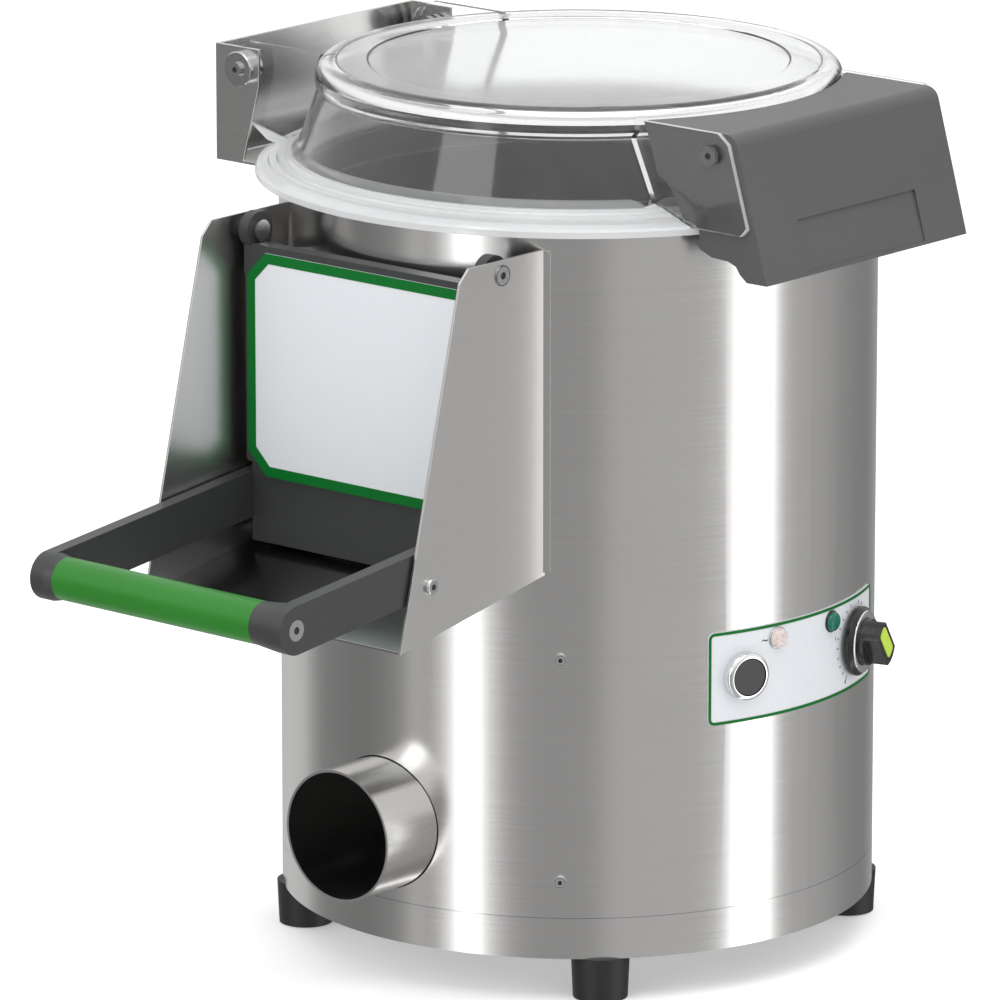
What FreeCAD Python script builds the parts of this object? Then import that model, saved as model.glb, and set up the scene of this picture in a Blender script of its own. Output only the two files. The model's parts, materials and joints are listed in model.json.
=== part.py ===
import FreeCAD, Part
import math
import os
import Sketcher
from FreeCAD import Placement, Rotation, Vector

# Electric potato peeler: a stainless drum machine with a clear hinged lid, a discharge door with a tray handle,
# a drain pipe, a control panel, and a belt drive below the drum.
# Frame: +Z up, the drum axis is the Z axis, feet stand on z = 0, the discharge door faces -Y,
# the lid hinge is on the -X side and the lid handle and control panel are on the +X side. Millimetres.

SIZES = [
    # body
    ("body_radius", 180.0, "outside radius of the stainless shell"),
    ("shell_wall", 1.5, "wall of shell, drum and chute sheet"),
    ("foot_height", 26.5, "floor to the underside of the base pan"),
    ("skirt_high", "=foot_height + 25", "upper edge of the base pan skirt"),
    ("seam_gap", 0.2, "open seam between skirt and shell"),
    ("pan_thick", 2.0, "base pan plate"),
    ("body_top", 466.5, "upper face of the drum flange"),
    ("flange_radius", "=body_radius + 1.5", "outside radius of the drum flange"),
    ("foot_circle", "=body_radius - 14", "radius of the circle of the feet"),
    ("foot_top_radius", 17.6, "foot radius at the pan"),
    ("foot_low_radius", 16.4, "foot radius at the floor"),
    ("foot_edge", 2.0, "rounding of the lower edge of a foot"),
    ("foot_recess_radius", 8.0, "recess for the foot screw head"),
    ("foot_recess_depth", 12.0, "depth of that recess"),
    ("foot_screw_radius", 4.0, "foot screw shank"),
    ("foot_head_radius", 6.5, "foot screw head"),
    ("foot_head_height", 5.3, "foot screw head height"),
    ("screw_clearance", 0.2, "radial clearance round fixed screws"),
    # drum
    ("base_gap", 0.05, "base plate to drum wall"),
    ("drum_radius", "=body_radius - 12", "outside radius of the peeling drum"),
    ("drum_floor", 235.0, "underside of the drum floor"),
    ("floor_thick", 2.0, "drum floor plate"),
    ("lining_thick", 2.8, "abrasive lining"),
    ("lining_low", "=throat_low + 8", "lower edge of the lining"),
    ("lining_high", "=body_top - 18", "upper edge of the lining"),
    ("lining_gap", 0.1, "glue line between drum and lining"),
    # abrasive disc and drive
    ("disc_radius", "=drum_radius - 8", "abrasive disc"),
    ("disc_low", "=drum_floor + 17.5", "underside of the disc"),
    ("disc_thick", 10.0, "disc plate"),
    ("disc_dish", 4.0, "rise of the disc towards its rim"),
    ("disc_hub_radius", 30.0, "hub under the disc"),
    ("disc_hub_low", "=drum_floor + 7.5", "underside of the hub"),
    ("ripple_height", 5.0, "height of the three ripples on the disc"),
    ("ripple_width", 34.0, "width of a ripple"),
    ("wiper_low", "=drum_floor + 4", "underside of the wipers"),
    ("wiper_thick", 5.0, "wiper blade"),
    ("shaft_radius", 12.5, "drive shaft"),
    ("shaft_low", "=foot_height + 9.5", "lower end of the drive shaft"),
    ("stud_radius", 6.0, "threaded stud on top of the shaft"),
    ("nut_radius", 13.0, "domed disc nut"),
    ("nut_height", 16.0, "height of the disc nut"),
    ("running_gap", 0.05, "radial clearance of a shaft in a bearing"),
    ("bearing_radius", 26.0, "outside radius of a bearing"),
    ("bearing_width", 15.0, "bearing width"),
    ("upper_bearing_low", "=drum_floor - 33.5", "underside of the upper bearing"),
    ("lower_bearing_low", "=upper_bearing_low - 77", "underside of the lower bearing"),
    ("housing_radius", 34.0, "bearing housing"),
    ("housing_low", "=lower_bearing_low - 8", "lower end of the housing"),
    ("housing_flange_radius", 62.0, "housing flange"),
    ("housing_flange_thick", 6.0, "housing flange"),
    ("seal_radius", 20.0, "shaft seal outside radius"),
    ("seal_low", "=drum_floor - 8.5", "underside of the seal"),
    ("pulley_radius", 80.0, "driven pulley"),
    ("motor_pulley_radius", 20.0, "motor pulley"),
    ("pulley_low", "=foot_height + 10.5", "underside of both pulleys"),
    ("pulley_width", 18.0, "width of both pulleys"),
    ("groove_depth", 9.0, "depth of the belt groove"),
    ("groove_half", 6.0, "half width of the groove at the rim"),
    ("groove_foot", 3.0, "half width of the groove at its foot"),
    ("belt_gap", 0.4, "belt to groove"),
    ("belt_thick", 6.0, "belt depth"),
    ("motor_offset", "=body_radius - 68", "motor axis behind the drum axis"),
    ("motor_radius", 55.0, "motor body"),
    ("motor_low", "=foot_height + 44", "underside of the motor"),
    ("motor_height", "=drum_floor - motor_low - 16.5", "motor body height"),
    ("motor_bore", 30.0, "inside radius of the motor body"),
    ("motor_cap", 8.0, "end cap of the motor"),
    ("motor_shaft_radius", 7.0, "motor shaft"),
    ("rotor_radius", 28.0, "rotor core"),
    ("rotor_gap", 6.0, "rotor core to end caps"),
    ("fin_depth", 3.0, "cooling fin depth"),
    ("fin_count", 12.0, "cooling fins round the motor"),
    ("plate_half", 64.0, "half width of the motor plate"),
    ("plate_depth", 40.0, "half depth of the motor plate"),
    ("plate_thick", 4.0, "motor plate"),
    ("post_x", 56.0, "motor posts sideways from the motor axis"),
    ("post_y", 30.0, "motor posts fore and aft of the motor axis"),
    ("post_radius", 5.0, "motor post"),
    ("capacitor_radius", 20.0, "run capacitor"),
    ("capacitor_height", 78.0, "run capacitor"),
    ("capacitor_x", "=68 - body_radius", "run capacitor place"),
    ("capacitor_y", 62.0, "run capacitor place"),
    # drain
    ("drain_radius", 40.0, "outside radius of the drain pipe"),
    ("drain_wall", 1.5, "drain pipe wall"),
    ("drain_axis", 98.5, "height of the drain pipe axis"),
    ("drain_mouth", "=body_radius + 40", "drain mouth in front of the drum axis"),
    ("drain_bend", 62.0, "radius of the drain elbow"),
    ("drain_start", "=body_radius + 0.5", "where the elbow ends and the straight spout begins"),
    ("drain_clearance", 0.6, "hole in the shell round the pipe"),
    # chute
    ("plate_inner", "=door_half + 6.4", "inner face of a chute side plate"),
    ("chute_top", "=body_top - 10", "upper edge of the side plates"),
    ("chute_top_front", "=body_radius + 45", "front end of that edge"),
    ("chute_low_front", "=body_radius + 97.5", "front lower corner of the side plates"),
    ("chute_low", "=throat_low - 25.7", "height of that corner"),
    ("chute_back", "=throat_low - 2.5", "height of the lower edge at the shell"),
    ("chute_back_y", "=body_radius - 36", "where that height is taken"),
    ("plate_corner", 8.0, "rounded front top corner"),
    ("plate_flange", 5.0, "bent flange along the shell"),
    ("wall_gap", 0.2, "sheet to shell"),
    # discharge opening
    ("throat_half", "=door_half - 10", "half width of the discharge opening"),
    ("throat_low", "=drum_floor + 29.5", "lower edge of the opening"),
    ("throat_high", "=pivot_z - 17", "upper edge of the opening"),
    ("throat_wall", 2.0, "opening frame"),
    ("throat_front", "=body_radius + 3", "front edge of the opening frame"),
    ("gasket_thick", 1.6, "door gasket"),
    ("gasket_width", 5.4, "door gasket"),
    # door
    ("door_front", "=body_radius + 15", "front face of the upper door plate"),
    ("door_thick", 10.0, "door plate"),
    ("door_half", 93.0, "half width of the upper door plate"),
    ("door_top", "=pivot_z - 7", "upper edge of the door"),
    ("door_break", "=throat_low + 43.5", "lower edge of the upper door plate"),
    ("door_bottom", "=throat_low - 4.8", "lower edge of the door"),
    ("door_step", 1.2, "step back of the lower door panel"),
    ("label_high", "=door_top - 4.2", "upper edge of the door label"),
    ("label_low", "=door_break - 7.2", "lower edge of the door label"),
    ("label_half", "=door_half - 2.2", "half width of the door label"),
    ("label_thick", 0.8, "label plate"),
    ("label_cut_x", 14.2, "corner cut of the label along X"),
    ("label_cut_z", 14.5, "corner cut of the label along Z"),
    ("arm_inner", "=door_half - 4.2", "inner face of a tray arm"),
    ("arm_outer", "=arm_inner + 9", "outer face of a tray arm"),
    ("grip_y", "=body_radius + 182.8", "grip axis in front of the drum axis"),
    ("grip_z", "=throat_low + 5.8", "height of the grip axis"),
    ("grip_radius", 12.8, "grip tube"),
    ("grip_bore", 8.0, "bore of the grip tube"),
    ("arm_end_radius", 14.4, "rounded end of an arm"),
    ("grip_left", "=door_half - 11", "left end of the grip tube"),
    ("grip_right", "=door_half - 21", "right end of the grip tube"),
    ("arm_back", "=body_radius - 2", "rear end of the arms"),
    ("arm_back_high", "=throat_low + 39", "upper edge of an arm at the door"),
    ("arm_back_low", "=throat_low + 11", "lower edge of an arm at the door"),
    ("lug_inner", "=door_half - 5", "inner face of a door lug"),
    ("lug_outer", "=lug_inner + 7", "outer face of a door lug"),
    ("lug_radius", 11.0, "rounded door lug"),
    ("lug_foot", "=pivot_z - 26", "lower end of the lug web"),
    ("pivot_y", "=body_radius + 7.5", "door pivot in front of the drum axis"),
    ("pivot_z", "=body_top - 19", "height of the door pivot"),
    ("pivot_radius", 4.0, "door pivot bolt"),
    ("bush_radius", 7.0, "bush between lug and side plate"),
    ("pivot_head_radius", 5.8, "pivot bolt head"),
    ("plug_half", "=throat_half - 3", "half width of the door plug"),
    ("plug_low", "=throat_low + 7", "lower edge of the plug"),
    ("plug_high", "=throat_high - 6", "upper edge of the plug"),
    ("plug_radius", "=drum_radius - 4", "inner face of the plug"),
    ("plug_wall", 4.0, "plug wall"),
    ("chute_screw_y", "=body_radius + 71", "lower screw of a side plate"),
    ("chute_screw_z", "=throat_low + 10", "height of that screw"),
    # lid
    ("lid_wall", 3.5, "clear lid wall"),
    ("lid_top", "=body_top + 68", "upper face of the lid"),
    ("lid_inner_line", "=lid_shoulder - 31.6", "step line on the lid top"),
    ("lid_step", 0.8, "depth of that step"),
    ("lid_shoulder", "=cone_top + 1.7", "greatest radius of the lid shoulder"),
    ("shoulder_round", 10.0, "rounding of the shoulder"),
    ("bead_low", "=body_top + 52", "underside of the shoulder bead"),
    ("cone_top", "=cone_low - 12.2", "lid wall under the bead"),
    ("cone_low", "=ring_radius - 25.5", "lid wall at the ring"),
    ("cone_low_z", "=body_top + 16", "height of the foot of the lid wall"),
    ("ring_top", "=body_top + 12.5", "upper face of the lid ring at its inner edge"),
    ("ring_radius", "=body_radius + 14", "outside radius of the lid ring"),
    ("ring_low", "=body_top - 0.5", "lower edge of the lid lip"),
    ("ring_under", "=body_top + 4", "underside of the ring"),
    ("lip_wall", 3.2, "lip of the ring"),
    ("seat_gap", 0.35, "lid gasket to drum flange"),
    ("gasket_inner", "=body_radius - 8", "lid gasket"),
    ("gasket_outer", "=body_radius + 0.5", "lid gasket"),
    # lid handle
    ("wing_inner", "=handle_half + 0.4", "inner face of a handle wing"),
    ("wing_thick", 3.0, "lid wings"),
    ("wing_top", "=body_top + 62", "upper edge of the handle wings"),
    ("wing_low", "=body_top + 3.6", "lower edge of the handle wings"),
    ("wing_top_x", "=ring_radius - 7", "outer end of the upper edge"),
    ("wing_low_x", "=ring_radius + 15", "outer end of the lower edge"),
    ("wing_round", 8.0, "rounded wing corners"),
    ("handle_half", 94.0, "half width of the grey handle"),
    ("handle_top", "=body_top + 61.5", "upper face of the handle"),
    ("handle_top_x", "=ring_radius + 3.5", "outer edge of the upper face"),
    ("handle_low", "=body_top - 24", "lower edge of the handle"),
    ("handle_low_x", "=ring_radius + 27.5", "outer lower edge"),
    ("handle_wall", 3.5, "handle wall"),
    ("handle_round", 9.0, "rounded upper edge"),
    ("handle_inner", "=ring_radius - 64", "inner end of the side walls at the top"),
    ("lid_clearance", 1.2, "handle to lid"),
    ("recess_half", 55.0, "half width of the finger recess"),
    ("recess_top", "=body_top + 8", "upper edge of the finger recess"),
    ("recess_depth", 1.6, "finger recess"),
    ("handle_screw_x", "=ring_radius - 12", "handle screw"),
    ("handle_screw_z", "=body_top + 48.5", "handle screw"),
    ("handle_screw_radius", 5.6, "handle screw head"),
    ("handle_screw_head", 2.6, "height of the handle screw head"),
    ("screw_shank", 2.5, "shank of small screws"),
    # lid hinge
    ("hinge_x", "=ring_radius - 4", "hinge axis behind the drum axis"),
    ("hinge_z", "=body_top + 50", "height of the hinge axis"),
    ("hinge_wing_inner", "=bracket_half - 8", "inner face of a hinge wing"),
    ("hinge_wing_top", "=body_top + 66", "upper edge of the hinge wings"),
    ("hinge_eye", 14.5, "rounded hinge wing end"),
    ("bracket_half", 90.0, "half width of the hinge bracket"),
    ("bracket_back", "=hinge_x + 22", "rear face of the bracket"),
    ("bracket_top", "=body_top + 63", "upper edge of the bracket"),
    ("bracket_low", "=body_top - 9", "lower edge of the bracket"),
    ("bracket_sheet", 2.0, "bracket sheet"),
    ("cheek_top_x", "=hinge_x - 13", "front upper corner of a bracket cheek"),
    ("cheek_break_z", "=body_top + 40", "where the cheek starts to narrow"),
    ("cheek_low_x", "=hinge_x + 0.5", "front lower corner of a bracket cheek"),
    ("hinge_pin_radius", 5.0, "hinge pin"),
    ("hinge_disc_radius", 10.8, "hinge disc"),
    ("hinge_disc_thick", 5.0, "hinge disc"),
    ("hinge_nut_radius", 7.0, "nut inside the hinge wing"),
    ("hinge_nut_thick", 4.0, "nut inside the hinge wing"),
    # control panel
    ("panel_from", -24.6, "panel start angle"),
    ("panel_to", 26.4, "panel end angle"),
    ("panel_low", "=control_z - 28.5", "lower edge of the panel"),
    ("panel_high", "=control_z + 28", "upper edge of the panel"),
    ("panel_thick", 0.9, "panel label"),
    ("panel_corner", 4.0, "rounded corners of the panel label"),
    ("button_angle", -16.9, "start button"),
    ("control_z", 193.5, "height of button and knob"),
    ("lamp_z", "=control_z + 19", "height of the lamps"),
    ("clear_lamp_angle", -9.0, "clear lamp"),
    ("green_lamp_angle", 6.8, "green lamp"),
    ("knob_angle", 16.6, "timer knob"),
    ("bezel_radius", 14.6, "button bezel"),
    ("bezel_rise", 6.6, "bezel in front of the panel"),
    ("button_radius", 11.2, "button cap"),
    ("button_rise", 6.1, "button cap in front of the panel"),
    ("button_travel", 2.5, "button travel"),
    ("button_gap", 0.35, "button to bezel"),
    ("lamp_radius", 6.0, "lamp lens"),
    ("lamp_rise", 4.0, "lamp lens in front of the panel"),
    ("skirt_radius", 21.0, "knob skirt"),
    ("skirt_rise", 7.0, "front of the knob skirt"),
    ("skirt_gap", 1.6, "knob to panel"),
    ("knob_radius", 14.0, "knob grip"),
    ("knob_rise", 21.0, "front of the knob grip"),
    ("knob_bar", 7.5, "half width of the knob bar"),
    ("timer_shaft_radius", 3.0, "timer shaft"),
    ("pointer_thick", 1.8, "thickness of the pointer"),
    ("pointer_half", 4.4, "half width of the pointer"),
    ("timer_half", 18.0, "half width of the timer body"),
    ("timer_depth", 30.0, "depth of the timer body"),
    # small pieces
    ("body_screw_angle", 37.0, "first column of body screws, from the door"),
    ("body_screw_high", 210.0, "upper body screws"),
    ("body_screw_low", 74.0, "lower body screws"),
    ("body_screw_radius", 3.6, "body screw head"),
    ("body_screw_rise", 2.2, "body screw head"),
    ("inlet_z", "=body_top - 34.5", "water inlet"),
    ("inlet_radius", 10.0, "water inlet tail"),
    ("inlet_bore", 7.5, "water inlet bore"),
    ("inlet_end", "=body_radius + 35", "end of the water inlet tail"),
    ("inlet_nut_radius", 16.0, "lock nut of the water inlet"),
    ("inlet_nut_thick", 5.0, "lock nut of the water inlet"),
    ("service_half", 42.0, "half width of the service plate round the gland"),
    ("service_high", "=gland_z + 52", "upper edge of the service plate"),
    ("service_gap", 0.25, "seam round the service plate"),
    ("gland_z", "=foot_height + 41.5", "cable gland"),
    ("gland_angle", 135.0, "cable gland"),
    ("gland_radius", 10.0, "cable gland"),
    ("gland_bore", 4.0, "cable gland bore"),
    ("gland_end", "=body_radius + 16", "outer end of the cable gland"),
]

doc = FreeCAD.newDocument("potato_peeler")
sheet = doc.addObject("Spreadsheet::Sheet", "Sizes")
for row, (alias, value, meaning) in enumerate(SIZES, start=1):
    sheet.set(f"A{row}", alias)
    sheet.setAlias(f"B{row}", alias)
    sheet.set(f"C{row}", meaning)
for row, (alias, value, meaning) in enumerate(SIZES, start=1):
    sheet.set(f"B{row}", str(value))
doc.recompute()


class Size:
    """A length from the sheet: its number now, and the expression that keeps it tied to the sheet."""

    def __init__(self, number, text):
        self.number = float(number)
        self.text = text

    def join(self, other, number, sign, swap=False):
        other_text = other.text if isinstance(other, Size) else repr(float(other))
        first, second = (other_text, self.text) if swap else (self.text, other_text)
        return Size(number, f"({first} {sign} {second})")

    def __float__(self):
        return self.number

    def __add__(self, other):
        return self.join(other, self.number + float(other), "+")

    def __sub__(self, other):
        return self.join(other, self.number - float(other), "-")

    def __rsub__(self, other):
        return self.join(other, float(other) - self.number, "-", swap=True)

    def __mul__(self, other):
        return self.join(other, self.number * float(other), "*")

    def __truediv__(self, other):
        return self.join(other, self.number / float(other), "/")

    def __neg__(self):
        return Size(-self.number, f"(-1 * {self.text})")

    __radd__ = __add__
    __rmul__ = __mul__


S = {alias: Size(getattr(sheet, alias), "Sizes." + alias) for alias, _, _ in SIZES}
ZERO = Size(0.0, "0")
NODES = {}


def keep(label, obj):
    """Name a finished sub-part and list it for export."""
    obj.Label = label
    NODES[label] = obj
    return obj


def bind(obj, **sizes):
    """Tie an object's properties to the sheet."""
    for prop, size in sizes.items():
        obj.setExpression(prop, size.text)


def move(obj, x=ZERO, y=ZERO, z=ZERO):
    """Tie an object's place to the sheet."""
    for axis, size in zip("xyz", (x, y, z)):
        obj.setExpression("Placement.Base." + axis, size.text)


def rod(name, radius, start, end, across=ZERO, up=ZERO, axis="Z"):
    """A round bar along an axis, from start to end. across and up place its axis in the other two directions."""
    bar = doc.addObject("Part::Cylinder", name)
    bind(bar, Radius=radius, Height=end - start)
    if axis == "Z":
        move(bar, across, up, start)
    elif axis == "Y":
        bar.Placement = Placement(Vector(), Rotation(Vector(1, 0, 0), -90))
        move(bar, across, start, up)
    else:
        bar.Placement = Placement(Vector(), Rotation(Vector(0, 1, 0), 90))
        move(bar, start, across, up)
    return bar


def block(name, low, high):
    """A box between two corners, each a triple of sizes."""
    box = doc.addObject("Part::Box", name)
    bind(box, Length=high[0] - low[0], Width=high[1] - low[1], Height=high[2] - low[2])
    move(box, *low)
    return box


def cut(name, base, tool):
    result = doc.addObject("Part::Cut", name)
    result.Base = base
    result.Tool = tool
    return result


def join(name, *pieces):
    result = doc.addObject("Part::MultiFuse", name)
    result.Shapes = list(pieces)
    result.Refine = True
    return result


def group(name, *pieces):
    result = doc.addObject("Part::Compound", name)
    result.Links = list(pieces)
    return result


def turn(obj, angle):
    """Carry a piece that was made towards +X round the drum axis."""
    obj.Placement = Placement(Vector(), Rotation(Vector(0, 0, 1), float(angle)))
    return obj


def outline(body, plane, points, offset=None):
    """A closed sketch through the points, each coordinate tied to the sheet."""
    sketch = body.newObject("Sketcher::SketchObject", body.Name + "Sketch")
    origin = [feature for feature in body.Origin.OriginFeatures if feature.Role == plane][0]
    sketch.AttachmentSupport = [(origin, "")]
    sketch.MapMode = "FlatFace"
    if offset is not None:
        sketch.setExpression("AttachmentOffset.Base.z", offset.text)
    places = [Vector(float(u), float(v), 0) for u, v in points]
    count = len(places)
    for index in range(count):
        sketch.addGeometry(Part.LineSegment(places[index], places[(index + 1) % count]))
    for index in range(count):
        sketch.addConstraint(Sketcher.Constraint("Coincident", index, 2, (index + 1) % count, 1))
    for index, (u, v) in enumerate(points):
        for kind, size in (("DistanceX", u), ("DistanceY", v)):
            size = size if isinstance(size, Size) else Size(size, repr(float(size)))
            number = sketch.addConstraint(Sketcher.Constraint(kind, -1, 1, index, 1, float(size)))
            sketch.setExpression(f"Constraints[{number}]", size.text)
    return sketch


def turned(name, points):
    """A solid of revolution about the drum axis from its half section, given as radius and height."""
    body = doc.addObject("PartDesign::Body", name)
    sketch = outline(body, "XZ_Plane", points)
    lathe = body.newObject("PartDesign::Revolution", name + "Turn")
    lathe.Profile = sketch
    lathe.ReferenceAxis = (sketch, ["V_Axis"])
    lathe.Angle = 360.0
    return body


def slab(name, plane, points, start, end):
    """A flat piece: an outline on a plane, carried from start to end along the plane's axis."""
    body = doc.addObject("PartDesign::Body", name)
    offset = -end if plane == "XZ_Plane" else start
    sketch = outline(body, plane, points, offset)
    pad = body.newObject("PartDesign::Pad", name + "Pad")
    pad.Profile = sketch
    pad.setExpression("Length", (end - start).text)
    return body


def shaped(name, shape):
    """A piece whose shape is worked out here, because neither a sketch nor a primitive gives it."""
    piece = doc.addObject("Part::Feature", name)
    piece.Shape = shape
    return piece


def number(alias):
    return float(S[alias])


def polygon_prism(points, direction):
    """A prism on a closed polygon of vectors."""
    face = Part.Face(Part.makePolygon(points + [points[0]]))
    return face.extrude(direction)


def ring_sector(inner, outer, low, high, start, end):
    """A part of a tube wall between two angles in degrees."""
    corners = [Vector(inner, 0, low), Vector(outer, 0, low), Vector(outer, 0, high), Vector(inner, 0, high)]
    face = Part.Face(Part.makePolygon(corners + [corners[0]]))
    wall = face.revolve(Vector(), Vector(0, 0, 1), end - start)
    wall.rotate(Vector(), Vector(0, 0, 1), start)
    return wall


def radial_box(half, low, high, angle):
    """A block that reaches out through the shell wall at an angle."""
    block_out = Part.makeBox(FAR, 2 * half, high - low, Vector(number("body_radius") / 2, -half, low))
    block_out.rotate(Vector(), Vector(0, 0, 1), angle)
    return block_out


def radial_rod(radius, start, end, angle, height):
    """A round bar that stands out from the drum axis."""
    bar = Part.makeCylinder(radius, end - start, Vector(start, 0, height), Vector(1, 0, 0))
    bar.rotate(Vector(), Vector(0, 0, 1), angle)
    return bar


shell_inner = S["body_radius"] - S["shell_wall"]
drum_inner = S["drum_radius"] - S["shell_wall"]
FAR = 400.0


# Body

def make_base():
    """Base pan with its skirt, four rubber feet and their screws."""
    pan_top = S["foot_height"] + S["pan_thick"]
    pan = turned("base_pan_plate", [
        (ZERO, S["foot_height"]), (S["body_radius"], S["foot_height"]), (S["body_radius"], S["skirt_high"]),
        (shell_inner - S["wall_gap"], S["skirt_high"]),
        (shell_inner - S["wall_gap"], pan_top), (ZERO, pan_top),
    ])
    reach = S["foot_circle"] * math.sqrt(0.5)
    feet, screws, holes = [], [], []
    for side_x in (1, -1):
        for side_y in (1, -1):
            tag = f"{'right' if side_x > 0 else 'left'}_{'rear' if side_y > 0 else 'front'}"
            x, y = reach * side_x, reach * side_y
            foot = doc.addObject("Part::Cone", "foot_cone_" + tag)
            bind(foot, Radius1=S["foot_low_radius"], Radius2=S["foot_top_radius"], Height=S["foot_height"])
            move(foot, x, y)
            recess = rod("foot_recess_" + tag, S["foot_recess_radius"], ZERO, S["foot_recess_depth"], x, y)
            bore = rod("foot_bore_" + tag, S["foot_screw_radius"] + S["screw_clearance"], ZERO,
                       S["foot_height"], x, y)
            hollow = cut("foot_" + tag, foot, join("foot_tool_" + tag, recess, bore))
            feet.append(hollow)
            head = rod("foot_head_" + tag, S["foot_head_radius"],
                       S["foot_recess_depth"] - S["foot_head_height"], S["foot_recess_depth"], x, y)
            shank = rod("foot_shank_" + tag, S["foot_screw_radius"], S["foot_recess_depth"],
                        pan_top + S["foot_head_height"], x, y)
            screws.append(join("foot_screw_" + tag, head, shank))
            holes.append(rod("pan_hole_" + tag, S["foot_screw_radius"] + S["screw_clearance"],
                             S["foot_height"], pan_top, x, y))
    keep("base_pan", cut("base_pan_cut", pan, join("pan_holes", *holes)))
    keep("rubber_feet", group("feet_group", *feet))
    keep("foot_screws", group("foot_screw_group", *screws))


def control_bore(alias_angle, height, radius, depth):
    """A hole through shell and panel for a control."""
    return radial_rod(radius, number("body_radius") - depth, FAR, number(alias_angle), height)


def control_holes():
    """Holes for the button, the two lamps and the timer shaft."""
    gap = number("screw_clearance")
    depth = 20.0
    return [
        control_bore("button_angle", number("control_z"), number("button_radius") + gap + 0.4, depth),
        control_bore("clear_lamp_angle", number("lamp_z"), number("lamp_radius") - 1.0, depth),
        control_bore("green_lamp_angle", number("lamp_z"), number("lamp_radius") - 1.0, depth),
        control_bore("knob_angle", number("control_z"), number("timer_shaft_radius") + 1.0, depth),
    ]


def throat_box(grow, front, back):
    """The space of the discharge opening, grown on all four sides."""
    half = number("throat_half") + grow
    low = number("throat_low") - grow
    high = number("throat_high") + grow
    return Part.makeBox(2 * half, front - back, high - low, Vector(-half, -front, low))


def screw_places():
    """Angle and height of each body screw: three columns round the shell, two screws in each."""
    first = number("body_screw_angle") - 90
    return [(first + 120 * column, number(level))
            for column in range(3) for level in ("body_screw_high", "body_screw_low")]


def make_shell():
    """The stainless cylinder with its openings, and the service plate that fills its notch at the rear."""
    low = number("skirt_high") + number("seam_gap")
    high = number("body_top") - number("shell_wall")
    shell = Part.makeCylinder(number("body_radius"), high - low, Vector(0, 0, low))
    shell = shell.cut(Part.makeCylinder(float(shell_inner), high - low, Vector(0, 0, low)))
    gap = number("wall_gap")
    holes = control_holes()
    holes.append(throat_box(number("throat_wall") + gap, FAR, 0))
    holes.append(Part.makeCylinder(number("drain_radius") + number("drain_clearance"), FAR,
                                   Vector(0, 0, number("drain_axis")), Vector(0, -1, 0)))
    holes.append(radial_rod(number("inlet_radius") + gap, 100, FAR, 90, number("inlet_z")))
    half, top, seam = number("service_half"), number("service_high"), number("service_gap")
    holes.append(radial_box(half + seam, low - 1, top + seam, number("gland_angle")))
    plate = shell.common(radial_box(half, low - 1, top, number("gland_angle")))
    plate = plate.cut(radial_rod(number("gland_radius") + gap, 100, FAR, number("gland_angle"), number("gland_z")))
    keep("service_plate", shaped("service_plate", plate))
    for angle, height in screw_places():
        holes.append(radial_rod(number("screw_shank") - 0.5, 100, FAR, angle, height))
    keep("body_shell", shaped("body_shell", shell.cut(holes)))


def make_body_screws():
    """Button head screws that hold the drum cradle."""
    screws = []
    for angle, height in screw_places():
        face = number("body_radius")
        head = radial_rod(number("body_screw_radius"), face + 0.02, face + number("body_screw_rise"), angle, height)
        socket = radial_rod(1.4, face + 0.9, face + 5, angle, height)
        shank = radial_rod(number("screw_shank") - 0.7, face - 8, face, angle, height)
        screws.append(head.fuse(shank).cut(socket).removeSplitter())
    keep("body_screws", shaped("body_screws", Part.makeCompound(screws)))


def make_drum():
    """Peeling drum wall with its top flange, the base plate in it, and its abrasive lining."""
    floor_top = S["drum_floor"] + S["floor_thick"]
    flange_low = S["body_top"] - S["shell_wall"]
    drum = turned("drum_turned", [
        (drum_inner, S["drum_floor"]), (S["drum_radius"], S["drum_floor"]),
        (S["drum_radius"], flange_low), (S["flange_radius"], flange_low), (S["flange_radius"], S["body_top"]),
        (drum_inner, S["body_top"]),
    ])
    base = turned("drum_base_turned", [
        (S["seal_radius"] + S["screw_clearance"], S["drum_floor"]), (drum_inner - S["base_gap"], S["drum_floor"]),
        (drum_inner - S["base_gap"], floor_top), (S["seal_radius"] + S["screw_clearance"], floor_top),
    ])
    gap = number("wall_gap")
    opening = shaped("drum_opening", throat_box(number("throat_wall") + gap, FAR, 0))
    drain_hole = rod("drum_drain_hole", S["drain_radius"] - S["drain_wall"], S["drum_floor"], floor_top,
                     ZERO, -(S["drain_start"]) + S["drain_bend"])
    inlet = shaped("drum_inlet_hole", radial_rod(number("inlet_radius") + gap, 100, FAR, 90, number("inlet_z")))
    keep("peeling_drum", cut("drum_cut", drum, join("drum_tools", opening, inlet)))
    keep("drum_base", cut("drum_base_cut", base, drain_hole))
    lining_outer = drum_inner - S["lining_gap"]
    lining_inner = lining_outer - S["lining_thick"]
    lining = turned("lining_turned", [
        (lining_inner, S["lining_low"]), (lining_outer, S["lining_low"]),
        (lining_outer, S["lining_high"]), (lining_inner, S["lining_high"]),
    ])
    lining_gate = shaped("lining_gate", throat_box(number("throat_wall") + gap, FAR, 0))
    lining_inlet = shaped("lining_inlet", radial_rod(number("inlet_radius") + gap, 100, FAR, 90, number("inlet_z")))
    keep("drum_lining", cut("lining_cut", lining, join("lining_tools", lining_gate, lining_inlet)))


# Drive

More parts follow.
